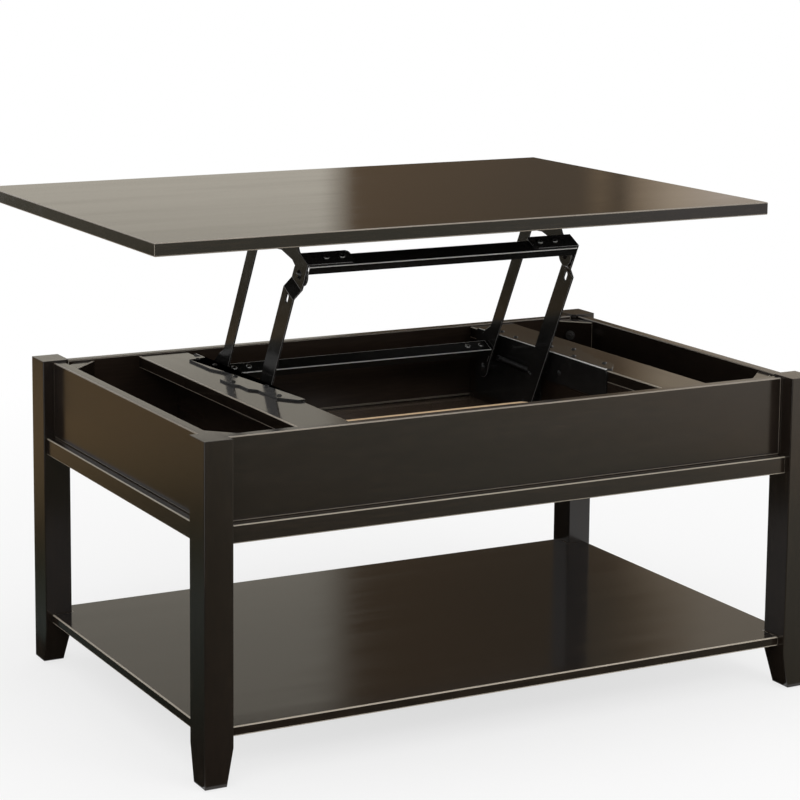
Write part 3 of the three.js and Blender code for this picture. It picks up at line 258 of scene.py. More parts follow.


# %% [markdown]
# ## The wooden finishes
# The frame is satin, and the shelf, the top and the caps over the mechanism are glossier. Their edges are
# paler, partly where handling rubs the lacquer off and partly as a painted highlight along each arris:
# least on the aprons and the top, more on the rails, and most on the shelf, the caps and the corner blocks.
# One mask could fade all edges alike. Separate finishes are used instead, because each kind of edge has its
# own paleness. Inside the well the boards are browner, and one cleat was left bare.

# %% Wooden finishes
ESPRESSO = (0.0125, 0.009, 0.0068), (0.036, 0.024, 0.015)
# The three rubbed colours are pale edges: partly worn lacquer and partly a painted highlight along the
# arris
RUBBED_AND_HIGHLIT = (0.22, 0.19, 0.155), (0.36, 0.31, 0.25)
MID_RUBBED_AND_HIGHLIT = (0.3, 0.265, 0.21), (0.42, 0.37, 0.3)
PALE_RUBBED_AND_HIGHLIT = (0.42, 0.37, 0.3), (0.55, 0.48, 0.4)
INSIDE_BOARD = (0.02, 0.013, 0.009), (0.05, 0.03, 0.02)
INSIDE_WALL = (0.022, 0.015, 0.011), (0.045, 0.03, 0.02)
FLOOR_BOARD = (0.14, 0.1, 0.072), (0.22, 0.16, 0.11)
PINE = (0.72, 0.52, 0.32), (0.5, 0.32, 0.17)
SATIN, ARRIS_SHEEN = 0.17, 0.2


def arris_wear_and_highlight_finish(name, colours):
    """A pale edge, partly worn lacquer and partly a painted highlight, for boards along x, and one for
    boards along y
    """
    return {along: wood_finish(f"{name}_{along}", along, colours, ARRIS_SHEEN) for along in "xy"}


lacquer = {along: wood_finish(f"lacquer_{along}", along, ESPRESSO, SATIN) for along in "xyz"}
rubbed_and_highlit = arris_wear_and_highlight_finish("rubbed_highlit_arris", RUBBED_AND_HIGHLIT)
mid_highlit_arris = arris_wear_and_highlight_finish("mid_highlit_arris", MID_RUBBED_AND_HIGHLIT)
pale_highlit_arris = arris_wear_and_highlight_finish("pale_highlit_arris", PALE_RUBBED_AND_HIGHLIT)
top_lacquer = wood_finish("top_gloss", "x", ESPRESSO, roughness=0.085, pore=GLOSS_PORE, specular=0.4)
shelf_lacquer = wood_finish("shelf_gloss", "x", ESPRESSO, roughness=0.11, pore=GLOSS_PORE, specular=0.3)
cap_lacquer = wood_finish("cap_gloss", "y", ESPRESSO, roughness=0.07, pore=GLOSS_PORE, specular=0.3)
well_board = wood_finish("inside_board", "y", INSIDE_BOARD, roughness=0.25, specular=0.3)
well_wall = wood_finish("inside_gloss", "x", INSIDE_WALL, roughness=0.12, pore=GLOSS_PORE)
well_floor = wood_finish("floor_board", "x", FLOOR_BOARD, roughness=0.12, pore=GLOSS_PORE, specular=0.4)
raw_pine = wood_finish("bare_pine", "x", PINE, roughness=0.6, pore=0.8, specular=0.3, share=0.9)
print("materials with the wooden finishes:", len(bpy.data.materials))

# %% [markdown]
# ## Enamelled steel, zinc and nylon
# The arms, bars and brackets are pressed steel, dipped in black enamel. Enamel flows before it sets, which
# leaves a fine ripple, and dust settles in it. Bolts, rivets and spring wire are bare metal. Each could
# have a tree of its own, but they differ only in colour, sheen and how metallic they are, so one group
# serves them all, and a row of values makes each finish.

# %% Shader group: rippled coat
RIPPLE_SCALE = 260.0
DUST_NOISE = {"scale": 34.0, "detail": 5.0, "roughness": 0.7}
DUST_RANGE = (0.5, 0.78)
DUST_ROUGHNESS = 0.12


def make_ripple_group():
    group, start, end = add_group(
        "rippled coat", {"Vector": VECTOR, "Coat": COLOUR, "Dust": COLOUR, "Dust Share": FLOAT,
                         "Sheen Roughness": FLOAT, "Ripple": FLOAT}, FINISH_OUTPUTS)
    vector = start.outputs["Vector"]
    ripple = add_noise(group, vector, RIPPLE_SCALE)
    dust = remap(group, add_noise(group, vector, **DUST_NOISE), *DUST_RANGE)
    share = combine(group, "MULTIPLY", dust, start.outputs["Dust Share"])
    colour = mix_colours(group, share, start.outputs["Coat"], start.outputs["Dust"])
    dusty = remap(group, dust, 0.0, 1.0, 0.0, DUST_ROUGHNESS)
    join_nodes(
        group, (colour, end.inputs["Color"]),
        (combine(group, "ADD", dusty, start.outputs["Sheen Roughness"]), end.inputs["Roughness"]),
        (combine(group, "MULTIPLY", ripple, start.outputs["Ripple"]), end.inputs["Height"]))
    return group


RIPPLE = make_ripple_group()

# %% Metal and nylon finishes
DUST_SHARE = 0.3
RIPPLE_DEPTH = 0.5
UNSCALED = (1, 1, 1)


def coated_finish(name, coat, dust, roughness, metallic):
    material, shader = start_finish(
        name, RIPPLE, UNSCALED, Coat=(*coat, 1), Dust=(*dust, 1), Dust_Share=DUST_SHARE,
        Sheen_Roughness=roughness, Ripple=RIPPLE_DEPTH)
    shader.inputs["Metallic"].default_value = metallic
    return material


# Each coat's colour, the colour of its dust, the roughness of its sheen, and how metallic it is
COATS = {
    "black_enamel": ((0.013, 0.0125, 0.012), (0.05, 0.048, 0.045), 0.17, 0.0),
    # The next three coats are pale painted highlights: on plate edges, on the bars' edges and on the
    # brackets' bends
    "enamel_edge_highlight": ((0.22, 0.215, 0.21), (0.34, 0.33, 0.32), 0.25, 0.0),
    "bar_edge_highlight": ((0.85, 0.84, 0.82), (0.7, 0.69, 0.67), 0.35, 0.5),
    "bend_highlight": ((0.95, 0.94, 0.92), (0.9, 0.89, 0.87), 0.4, 0.0),
    "bar_enamel": ((0.006, 0.006, 0.0055), (0.02, 0.0195, 0.019), 0.17, 0.0),
    "dull_zinc": ((0.16, 0.155, 0.145), (0.3, 0.29, 0.27), 0.34, 1.0),
    "spring_wire": ((0.05, 0.05, 0.05), (0.025, 0.025, 0.025), 0.3, 1.0),
    "blackened_screw": ((0.05, 0.05, 0.05), (0.15, 0.14, 0.13), 0.28, 0.8),
    "rivet_steel": ((0.34, 0.34, 0.33), (0.12, 0.12, 0.12), 0.26, 1.0),
    "black_nylon": ((0.02, 0.02, 0.02), (0.05, 0.05, 0.05), 0.5, 0.0),
}
coats = {name: coated_finish(name, *values) for name, values in COATS.items()}
print("materials with the coats:", len(bpy.data.materials))

# %% [markdown]
# ## Softened boards and plates
# A CAD solid has knife edges, and a knife edge never catches the light. A Bevel modifier could round them
# all, but this table needs to know which faces are edges. So a copy of each solid is cleaned up and
# bevelled in mesh code. Its bevels, and the chamfers that the solid already has, get a paler finish of
# their own, partly for lacquer and enamel thinned on an edge and partly as a painted highlight. A test on a
# face's direction can keep that to the edges that face the light, a pressed plate's long bends can be
# rounded more widely, and faces that look into the well can have a third finish. Weighted normals keep the
# wide faces flat.

# %% Helpers: rims and bends
BEND_ANGLE = math.radians(60)
BEND_SEGMENTS = 3
ROUND = 0.5
RIM_WIDTH = 3.2 * MM
RIM_LENGTH = 60 * MM
FACE, EDGE, INNER_FACE = range(3)


def is_rim(face):
    longest = max(edge.calc_length() for edge in face.edges)
    return longest > RIM_LENGTH and face.calc_area() < RIM_WIDTH * longest


# worn is a test on a face's direction: it keeps the pale edge finish, a painted highlight, to edges facing
# the light
def round_bend(bm, bend, worn):
    """Rounds the long bends of a pressed plate and marks their faces as edges"""
    bends = []
    for edge in bm.edges:
        if len(edge.link_faces) == 2 and edge.calc_length() > RIM_LENGTH:
            between = (edge.link_faces[0].normal + edge.link_faces[1].normal).normalized()
            if edge.calc_face_angle() > BEND_ANGLE and worn(between):
                bends.append(edge)
    made = bmesh.ops.bevel(
        bm, geom=bends, offset=bend, segments=BEND_SEGMENTS, profile=ROUND, affect="EDGES")
    for face in made["faces"]:
        face.material_index = EDGE


# %% Helper: soften the edges
MERGE_REACH = 0.005 * MM
FLAT_ANGLE, HARD_ANGLE = math.radians(0.5), math.radians(25)
SAME_WAY = 0.9
NO_LENGTH = 0.01 * MM


def soften(bm, cut, rims, worn, inner, bend):
    """Bevels the hard edges by a cut, which is a width, its segments and the shortest edge that gets it"""
    width, segments, shortest = cut
    bmesh.ops.remove_doubles(bm, verts=bm.verts, dist=MERGE_REACH)
    bmesh.ops.dissolve_limit(bm, angle_limit=FLAT_ANGLE, verts=bm.verts, edges=bm.edges)
    if bend:
        round_bend(bm, bend, worn)
    hard = [edge for edge in bm.edges if len(edge.link_faces) == 2 and edge.calc_length() > shortest
            and edge.calc_face_angle() > HARD_ANGLE]
    made = bmesh.ops.bevel(
        bm, geom=hard, offset=width, segments=segments, profile=ROUND, affect="EDGES", clamp_overlap=True)
    bm.normal_update()
    bevels = set(made["faces"])
    for face in bm.faces:
        narrow = face in bevels or face.material_index == EDGE or (rims and is_rim(face))
        face.smooth = True
        face.material_index = EDGE if narrow and (worn is None or worn(face.normal)) else FACE
        if inner and not narrow and face.normal.dot(inner) > SAME_WAY:
            face.material_index = INNER_FACE
    bmesh.ops.dissolve_degenerate(bm, dist=NO_LENGTH, edges=bm.edges)


# %% Helpers: dress a node
BOARD_CUT = (1.1 * MM, 2, 4 * MM)
SMOOTH_ANGLE = math.radians(35)
FLATTEST = 100


def add_piece(name, mesh, body, finishes):
    for finish in finishes:
        mesh.materials.append(finish)
    piece = bpy.data.objects.new(name, mesh)
    scene.collection.objects.link(piece)
    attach(piece, body)
    return piece


def dress(node, finishes, cut=BOARD_CUT, rims=True, worn=None, inner=None, bend=0.0):
    """Replaces a node by a softened copy; its finishes are for its faces, its edges and its inner faces"""
    mesh = bpy.data.meshes.new(node + "_dressed")
    bm = bmesh.new()
    bm.from_mesh(nodes[node].data)
    soften(bm, cut, rims, worn, inner, bend)
    bm.to_mesh(mesh)
    bm.free()
    if "custom_normal" in mesh.attributes:
        mesh.attributes.remove(mesh.attributes["custom_normal"])
    mesh.set_sharp_from_angle(angle=SMOOTH_ANGLE)
    piece = add_piece(node + "_dressed", mesh, body_of_node[node], finishes)
    normals = piece.modifiers.new("flat faces", "WEIGHTED_NORMAL")
    normals.keep_sharp = True
    normals.weight = FLATTEST
    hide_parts(node)


# %% [markdown]
# ## The wooden frame
# Four legs carry the aprons, the rails under them and the shelf, and the well with its dividers lies
# between the aprons. The boards could share one material, but then the grain would run across half of them.
# Each one takes the grain of its longest side instead: legs upright, aprons and rails lengthwise. The long
# aprons have the well's own brown on the faces that look inwards.

# %% Dress the boards
LEG_CUT = (1.4 * MM, 3, 4 * MM)
BOARD_GRAIN = {"front_apron": "x", "rear_apron": "x", "front_rail": "x", "rear_rail": "x",
               "left_apron": "y", "right_apron": "y", "left_rail": "y", "right_rail": "y"}
INWARDS = {"front_apron": Vector((0, 1, 0)), "rear_apron": Vector((0, -1, 0))}
# The aprons' and rails' edge finishes are partly worn lacquer and partly a painted highlight
for name, along in BOARD_GRAIN.items():
    arris = (mid_highlit_arris if name.endswith("rail") else rubbed_and_highlit)[along]
    inside = [well_wall] if name in INWARDS else []
    dress(name, [lacquer[along], arris, *inside], inner=INWARDS.get(name))
for corner in CORNERS:
    dress("leg_" + corner, [lacquer["z"], lacquer["z"]], LEG_CUT)
    dress("corner_block_" + corner, [cap_lacquer, pale_highlit_arris["y"]])
for side in SIDES:
    dress("divider_" + side, [well_board, well_board])
    dress("divider_cap_" + side, [cap_lacquer, pale_highlit_arris["y"]])
dress("shelf", [shelf_lacquer, pale_highlit_arris["x"]])
dress("top_panel", [top_lacquer, rubbed_and_highlit["x"]])
dress("well_floor", [well_floor, well_floor])
dress("front_cleat", [raw_pine, raw_pine])

# %% [markdown]
# ## The steel linkage
# The top rises on two pairs of parallel arms between brackets, and a bar ties each pair together. On a thin
# plate, a pin or a bolt one fine bevel does, where a board or a bar has two steps. The enamel could look
# the same everywhere, but the bend of the base brackets and the edges of the bars that don't look down have
# pale finishes of their own: painted highlights where those edges face the light.

# %% Dress the steel
PLATE_CUT = (0.4 * MM, 1, 4 * MM)
BRACKET_CUT = (0.5 * MM, 1, 4 * MM)
BAR_CUT = (1.3 * MM, 2, 4 * MM)
BOLT_CUT = (0.3 * MM, 1, 5 * MM)
BEND_WIDTH = 2.4 * MM
# These slopes choose by direction which edges get the pale painted highlight: up and inward on the
# brackets, not down on the bars
BEND_SLOPE = 0.2
BAR_SLOPE = -0.3
PLATES_AND_PINS = ("front_arm_", "rear_arm_", "lower_bar_clip_", "top_bracket_", "lower_front_pin_",
                   "lower_rear_pin_", "upper_front_pin_", "upper_rear_pin_")
for side, inward in zip(SIDES, (1, -1)):
    dress("base_bracket_" + side, [coats["black_enamel"], coats["bend_highlight"]], BRACKET_CUT, bend=BEND_WIDTH,
          worn=lambda normal: min(normal.z, normal.x * inward) > BEND_SLOPE)
    for part in PLATES_AND_PINS:
        dress(part + side, [coats["black_enamel"], coats["enamel_edge_highlight"]], PLATE_CUT, rims=False)
for bar in ("upper_cross_bar", "lower_cross_bar"):
    dress(bar, [coats["bar_enamel"], coats["bar_edge_highlight"]], BAR_CUT,
          worn=lambda normal: normal.z > BAR_SLOPE)
for corner in CORNERS:
    dress("corner_bolt_" + corner, [coats["dull_zinc"], coats["dull_zinc"]], BOLT_CUT)
    nodes["foot_glide_" + corner].material_slots[0].material = coats["black_nylon"]
    nodes["shelf_dowel_" + corner].material_slots[0].material = raw_pine

# %% [markdown]
# ## The counterbalance springs
# A spring beside each front arm takes the top's weight: a close coil with a hook at each end. It could be
# wound with a Screw modifier, but the hooks and the wire would be separate work. Geometry Nodes draw all of
# it along its own axis from a few sizes: a spiral for the coil, an arc for each hook and a straight lead
# between them, swept by one round wire. One end rides on the base and the other on the front arm, and here
# the spring is drawn straight between them.

# %% Geometry nodes: the parts of a spring
WIRE_SIDES = 10
COIL_STEPS = 20
HOOK_STEPS = 24
HOOK_SWEEP = math.radians(300)
QUARTER = math.pi / 2


def sweep_wire(group, radius, curve):
    profile = add_node(group, "GeometryNodeCurvePrimitiveCircle", Resolution=WIRE_SIDES)
    tube = add_node(group, "GeometryNodeCurveToMesh", Fill_Caps=True)
    join_nodes(group, (radius, profile.inputs["Radius"]),
               (profile.outputs["Curve"], tube.inputs["Profile Curve"]), (curve, tube.inputs["Curve"]))
    return tube.outputs["Mesh"]


def on_axis(group, z=None, x=None):
    """A vector from sockets for z and x; what isn't given is zero"""
    vector = add_node(group, "ShaderNodeCombineXYZ")
    for axis, value in (("Z", z), ("X", x)):
        if value is not None:
            group.links.new(value, vector.inputs[axis])
    return vector.outputs["Vector"]


def move(group, geometry, offset, turn=(0, 0, 0)):
    place = add_node(group, "GeometryNodeTransform", Rotation=turn)
    join_nodes(group, (geometry, place.inputs["Geometry"]), (offset, place.inputs["Translation"]))
    return place.outputs["Geometry"]


def draw_coil(group, sizes):
    leads = combine(group, "ADD", sizes["Lead"], sizes["Lead"])
    coil = add_node(group, "GeometryNodeCurveSpiral", Resolution=COIL_STEPS)
    join_nodes(group, (sizes["Turns"], coil.inputs["Rotations"]),
               (combine(group, "SUBTRACT", sizes["Length"], leads), coil.inputs["Height"]),
               (sizes["Coil Radius"], coil.inputs["Start Radius"]),
               (sizes["Coil Radius"], coil.inputs["End Radius"]))
    return move(group, coil.outputs["Curve"], on_axis(group, sizes["Lead"]))


def draw_end(group, sizes, low, high, tip, turn):
    """The straight lead from low to high, and the hook at the spring's tip"""
    radius = sizes["Coil Radius"]
    lead = add_node(group, "GeometryNodeCurvePrimitiveLine")
    hook = add_node(group, "GeometryNodeCurveArc", Resolution=HOOK_STEPS, Start_Angle=0.0,
                    Sweep_Angle=HOOK_SWEEP)
    join_nodes(group, (on_axis(group, low, radius), lead.inputs["Start"]),
               (on_axis(group, high, radius), lead.inputs["End"]), (radius, hook.inputs["Radius"]))
    return lead.outputs["Curve"], move(group, hook.outputs["Curve"], on_axis(group, tip), (turn, 0, 0))


# %% Geometry nodes: the whole spring
def make_spring_tree():
    group, start, end = add_group(
        "tension spring", {"Length": FLOAT, "Lead": FLOAT, "Coil Radius": FLOAT, "Wire Radius": FLOAT,
                           "Turns": FLOAT, "Wire": MATERIAL}, {"Geometry": GEOMETRY}, "GeometryNodeTree")
    sizes = start.outputs
    coil_end = combine(group, "SUBTRACT", sizes["Length"], sizes["Lead"])
    curves = [draw_coil(group, sizes), *draw_end(group, sizes, None, sizes["Lead"], None, -QUARTER),
              *draw_end(group, sizes, coil_end, sizes["Length"], sizes["Length"], QUARTER)]
    joined = add_node(group, "GeometryNodeJoinGeometry")
    for curve in curves:
        group.links.new(sweep_wire(group, sizes["Wire Radius"], curve), joined.inputs["Geometry"])
    smooth = add_node(group, "GeometryNodeSetShadeSmooth")
    real = add_node(group, "GeometryNodeRealizeInstances")
    paint = add_node(group, "GeometryNodeSetMaterial")
    join_nodes(
        group, (joined.outputs["Geometry"], smooth.inputs["Geometry"]),
        (smooth.outputs["Geometry"], real.inputs["Geometry"]),
        (real.outputs["Geometry"], paint.inputs["Geometry"]), (sizes["Wire"], paint.inputs["Material"]),
        (paint.outputs["Geometry"], end.inputs["Geometry"]))
    return group


def grow(name, group, values, base=None):
    """Runs a Geometry Nodes tree with its inputs set and returns the result as a plain mesh"""
    host = bpy.data.objects.new(name, base or bpy.data.meshes.new(name))
    scene.collection.objects.link(host)
    modifier = host.modifiers.new(name, "NODES")
    modifier.node_group = group
    for socket in group.interface.items_tree:
        if socket.in_out == "INPUT" and socket.name in values:
            modifier[socket.identifier] = values[socket.name]
    graph = bpy.context.evaluated_depsgraph_get()
    mesh = bpy.data.meshes.new_from_object(host.evaluated_get(graph))
    bpy.data.objects.remove(host)
    return mesh


# %% Springs
SPRING_TREE = make_spring_tree()
SPRING_COIL = 4.5 * MM
SPRING_WIRE = 1.0 * MM
SPRING_LEAD = 7 * MM
SPRING_TURNS = 24.0


def add_spring(side):
    low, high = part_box("spring_" + side)
    reach = SPRING_COIL + SPRING_WIRE
    middle_x = (low.x + high.x) / 2
    front = Vector((middle_x, low.y + reach, low.z + reach))
    back = Vector((middle_x, high.y - reach, high.z - reach))
    mesh = grow("spring_wire_" + side, SPRING_TREE,
                {"Length": (back - front).length, "Lead": SPRING_LEAD, "Coil Radius": SPRING_COIL,
                 "Wire Radius": SPRING_WIRE, "Turns": SPRING_TURNS, "Wire": coats["spring_wire"]})
    mesh.transform(Matrix.Translation(front) @ (back - front).to_track_quat("Z", "X").to_matrix().to_4x4())
    spring = bpy.data.objects.new("spring_wire_" + side, mesh)
    scene.collection.objects.link(spring)
    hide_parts("spring_" + side)
    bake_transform(spring)
    return spring


for side in SIDES:
    print("spring:", side, [round(size, 4) for size in add_spring(side).dimensions])

# %% [markdown]
# ## Screw heads
# Wood screws hold the brackets to the caps, the dividers and the top. Each has a low round head with a
# cross recess. The heads could be copied by hand, one object each. Here one head is modelled in mesh code,
# and Geometry Nodes set a copy on every point where the frame has a screw, each turned by its own chance
# angle, so that all the heads on one bracket are one mesh.

# %% Model one screw head
HEAD_RADIUS = 4.5 * MM
HEAD_HEIGHT = 2.3 * MM
RECESS_ARM = 2.4 * MM
RECESS_WIDTH = 0.9 * MM
RECESS_DEPTH = 1.1 * MM
DOME_SHARES = (0.35, 0.7, 0.9, 1.0)
RECESS_CLEAR_ANGLE = 0.62


def ring_faces(bm, below, above):
    for i in range(len(below)):
        j = (i + 1) % len(below)
        bm.faces.new((below[i], below[j], above[j], above[i]))


def make_screw_head():
    """A dome with a cross-shaped recess sunk into its top, standing on z = 0"""
    bm = bmesh.new()
    half = RECESS_WIDTH / 2
    plan = []
    for quarter in range(4):
        turn = Matrix.Rotation(quarter * QUARTER, 2)
        plan += [turn @ Vector(p) for p in ((half, half), (half, RECESS_ARM), (-half, RECESS_ARM))]
    rings = [[Vector((p.x, p.y, z)) for p in plan] for z in (HEAD_HEIGHT - RECESS_DEPTH, HEAD_HEIGHT)]
    for share in DOME_SHARES:
        angle = share * QUARTER
        radius = HEAD_RADIUS * math.sin(max(angle, RECESS_CLEAR_ANGLE))
        height = HEAD_HEIGHT * math.cos(angle) if share < 1 else 0
        rings.append([Vector((p.x, p.y, 0)).normalized() * radius + Vector((0, 0, height)) for p in plan])
    loops = [[bm.verts.new(p) for p in ring] for ring in rings]
    for below, above in zip(loops, loops[1:]):
        ring_faces(bm, below, above)
    bm.faces.new(loops[0])
    bm.faces.new(loops[-1])
    bmesh.ops.recalc_face_normals(bm, faces=bm.faces)
    mesh = bpy.data.meshes.new("screw_head")
    bm.to_mesh(mesh)
    bm.free()
    return mesh


screw_head = make_screw_head()
print("faces of one screw head:", len(screw_head.polygons))


# %% Geometry nodes: heads on points
def make_heads_tree():
    group, start, end = add_group(
        "heads on points", {"Points": GEOMETRY, "Head": "NodeSocketObject", "Turn": "NodeSocketRotation",
                            "Spread": FLOAT, "Seed": "NodeSocketInt", "Steel": MATERIAL},
        {"Geometry": GEOMETRY}, "GeometryNodeTree")
    given = start.outputs
    head = add_node(group, "GeometryNodeObjectInfo")
    instance = add_node(group, "GeometryNodeInstanceOnPoints")
    chance = add_node(group, "FunctionNodeRandomValue", {"data_type": "FLOAT"})
    twist = add_node(group, "GeometryNodeRotateInstances")
    real = add_node(group, "GeometryNodeRealizeInstances")
    paint = add_node(group, "GeometryNodeSetMaterial")
    least, most = [s for s in chance.inputs if s.type == "VALUE" and s.name in ("Min", "Max")]
    least.default_value = 0.0
    angle = next(s for s in chance.outputs if s.type == "VALUE")
    join_nodes(
        group, (given["Points"], instance.inputs["Points"]), (given["Head"], head.inputs["Object"]),
        (head.outputs["Geometry"], instance.inputs["Instance"]),
        (given["Turn"], instance.inputs["Rotation"]),
        (given["Spread"], most), (given["Seed"], chance.inputs["Seed"]),
        (instance.outputs["Instances"], twist.inputs["Instances"]),
        (on_axis(group, angle), twist.inputs["Rotation"]),
        (twist.outputs["Instances"], real.inputs["Geometry"]),
        (real.outputs["Geometry"], paint.inputs["Geometry"]), (given["Steel"], paint.inputs["Material"]),
        (paint.outputs["Geometry"], end.inputs["Geometry"]))
    return group


# %% Helpers: find the screws and set the heads
HEADS_TREE = make_heads_tree()
HEAD_SPREAD = 1.5
HEAD_SEED = 3
TIP_TOLERANCE = 0.03 * MM


def tips_on(node, axis, value):
    """The node's corners on a plane square to an axis, which only the tips of its domed heads reach"""
    found = {tuple(round(c, 5) for c in v.co) for v in nodes[node].data.vertices
             if abs(v.co[axis] - value) < TIP_TOLERANCE}
    return [Vector(p) for p in sorted(found)]


def add_heads(name, body, head, tips, facing, sink, finish):
    """Sets a head over each tip, facing a direction, as one piece on a body"""
    facing = Vector(facing).normalized()
    base = bpy.data.meshes.new(name)
    base.from_pydata([tip - facing * sink for tip in tips], [], [])
    host = bpy.data.objects.new("one_" + name, head)
    scene.collection.objects.link(host)
    values = {"Head": host, "Turn": facing.to_track_quat("Z", "Y").to_euler(), "Spread": HEAD_SPREAD,
              "Seed": HEAD_SEED, "Steel": finish}
    mesh = grow(name, HEADS_TREE, values, base)
    bpy.data.objects.remove(host)
    add_piece(name, mesh, body, [])
    print(name, "heads:", len(tips), "faces:", len(mesh.polygons))


# %% Screws on the brackets
SCREW_SINK = HEAD_HEIGHT - 0.2 * MM
SCREW_TIP = 5.3 * MM
X_AXIS, Z_AXIS = 0, 2
for side, sign in zip(SIDES, (-1, 1)):
    bracket = "base_bracket_" + side
    cap_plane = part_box(bracket)[1].z
    divider_plane = sign * (min(abs(corner.x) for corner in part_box("divider_" + side)) - SCREW_TIP)
    top_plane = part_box("top_panel")[0].z - SCREW_TIP
    for name, body, node, axis, plane, facing in (
            ("cap_screws_", "base", bracket, Z_AXIS, cap_plane, (0, 0, 1)),
            ("divider_screws_", "base", bracket, X_AXIS, divider_plane, (-sign, 0, 0)),
            ("top_screws_", "top", "top_bracket_" + side, Z_AXIS, top_plane, (0, 0, -1))):
        add_heads(name + side, body, screw_head, tips_on(node, axis, plane), facing, SCREW_SINK,
                  coats["blackened_screw"])

# %% [markdown]
# ## Rivets on the cross bars
# The bars are held by hollow rivets: a rolled rim around a dimple. A Screw modifier could spin the profile,
# and mesh code does the same in a few lines, ring by ring, without anything left to apply. The two bars lie
# across the arms, so their rivets face along the arms.

# %% Model one rivet head
RIVET_PROFILE = ((5.2, 0.0), (5.2, 0.7), (4.7, 1.6), (3.6, 2.3), (2.6, 2.2), (1.9, 1.5), (1.0, 1.2))
RIVET_SIDES = 20
RIVET_SHARP_ANGLE = math.radians(50)


def make_rivet_head():
    bm = bmesh.new()
    angles = [i * 2 * math.pi / RIVET_SIDES for i in range(RIVET_SIDES)]
    rings = []
    for radius, height in RIVET_PROFILE:
        rings.append([bm.verts.new((radius * MM * math.cos(a), radius * MM * math.sin(a), height * MM))
                      for a in angles])
    for below, above in zip(rings, rings[1:]):
        ring_faces(bm, below, above)
    bm.faces.new(rings[-1])
    bm.faces.new(reversed(rings[0]))
    bmesh.ops.recalc_face_normals(bm, faces=bm.faces)
    for face in bm.faces:
        face.smooth = True
    mesh = bpy.data.meshes.new("rivet_head")
    bm.to_mesh(mesh)
    bm.free()
    mesh.set_sharp_from_angle(angle=RIVET_SHARP_ANGLE)
    return mesh


rivet_head = make_rivet_head()
print("faces of one rivet head:", len(rivet_head.polygons))

# %% Rivets
RIVETS_ON_BAR = 4
RIVETS_APART = 4 * MM
RIVET_SINK = 2.1 * MM


def middle_of(name):
    low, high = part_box(name)
    return (low + high) / 2


def reach_tips(node, facing):
    """The tips that reach furthest in a direction, one for each rivet"""
    tips = []
    for point in sorted((v.co for v in nodes[node].data.vertices), key=lambda p: -p.dot(facing)):
        if all((point - other).length > RIVETS_APART for other in tips):
            tips.append(point.copy())
        if len(tips) == RIVETS_ON_BAR:
            return tips


for bar, body, pair in (
        ("upper_cross_bar", "front_arms", "front"), ("lower_cross_bar", "rear_arms", "rear")):
    arm = middle_of(f"upper_{pair}_pin_left") - middle_of(f"lower_{pair}_pin_left")
    arm = Vector((0, arm.y, arm.z)).normalized()
    add_heads(bar + "_rivets", body, rivet_head, reach_tips(bar, arm), arm, RIVET_SINK,
              coats["rivet_steel"])

# %% [markdown]
# ## The studio
# A pale floor, a white background and a few large soft lamps are enough for a dark lacquered table. The
# background could be made white with a bright world, but that would wash out the table. It is white only
# because camera, glossy and glass rays see it so: the light that falls on the table comes from a dimmer
# world and from the lamps, so that each colour renders about as it is written.

# %% World
WHITE = (1, 1, 1, 1)
WORLD_LEVEL = 0.55


def set_world():
    world = bpy.data.worlds.new("studio")
    scene.world = world
    world.use_nodes = True
    tree = world.node_tree
    background = tree.nodes["Background"]
    rays = add_node(tree, "ShaderNodeLightPath")
    seen = combine(tree, "MAXIMUM", rays.outputs["Is Camera Ray"], rays.outputs["Is Glossy Ray"])
    seen = combine(tree, "MAXIMUM", seen, rays.outputs["Is Transmission Ray"])
    background.inputs["Color"].default_value = WHITE
    tree.links.new(remap(tree, seen, 0.0, 1.0, WORLD_LEVEL, 1.0), background.inputs["Strength"])


set_world()
print("world level for the table:", WORLD_LEVEL)

# %% [markdown]
# ## The floor
# The table stands on a matt pale floor. A plain plane would show a grey horizon, and a curved backdrop
# would show its bend from other sides. So the floor is flat, and the camera sees it through a white glow.
# Near the table about a third of the matt surface shows, which keeps a soft shadow, and it fades to the
# white of the background with the distance from the table's middle.

# %% Floor
FLOOR_HALF = 30.0
FLOOR_DROP = 0.5 * MM
FLOOR_COLOUR = (0.92, 0.92, 0.92, 1)
FLOOR_ROUGHNESS, FLOOR_SPECULAR = 0.9, 0.1
FADE_START, FADE_END = 0.2, 2.4
FADE_NEAR = 0.68


def floor_finish():
    material = bpy.data.materials.new("pale_floor")
    material.use_nodes = True
    tree = material.node_tree
    shader = tree.nodes["Principled BSDF"]
    shader.inputs["Base Color"].default_value = FLOOR_COLOUR
    shader.inputs["Roughness"].default_value = FLOOR_ROUGHNESS
    shader.inputs["Specular IOR Level"].default_value = FLOOR_SPECULAR
    glow = add_node(tree, "ShaderNodeEmission", Color=WHITE)
    place = add_node(tree, "ShaderNodeTexCoord")
    away = add_node(tree, "ShaderNodeVectorMath", {"operation": "LENGTH"})
    tree.links.new(place.outputs["Object"], away.inputs[0])
    fade = remap(tree, away.outputs["Value"], FADE_START, FADE_END, FADE_NEAR)
    rays = add_node(tree, "ShaderNodeLightPath")
    seen = combine(tree, "MAXIMUM", rays.outputs["Is Camera Ray"], rays.outputs["Is Glossy Ray"])
    mix = add_node(tree, "ShaderNodeMixShader")
    join_nodes(
        tree, (combine(tree, "MULTIPLY", fade, seen), mix.inputs[0]), (shader.outputs[0], mix.inputs[1]),
        (glow.outputs[0], mix.inputs[2]), (mix.outputs[0], tree.nodes["Material Output"].inputs["Surface"]))
    return material


def add_floor():
    mesh = bpy.data.meshes.new("floor")
    ring = ((-1, -1), (1, -1), (1, 1), (-1, 1))
    mesh.from_pydata([(x * FLOOR_HALF, y * FLOOR_HALF, -FLOOR_DROP) for x, y in ring], [], [(0, 1, 2, 3)])
    mesh.materials.append(floor_finish())
    floor = bpy.data.objects.new("floor", mesh)
    scene.collection.objects.link(floor)


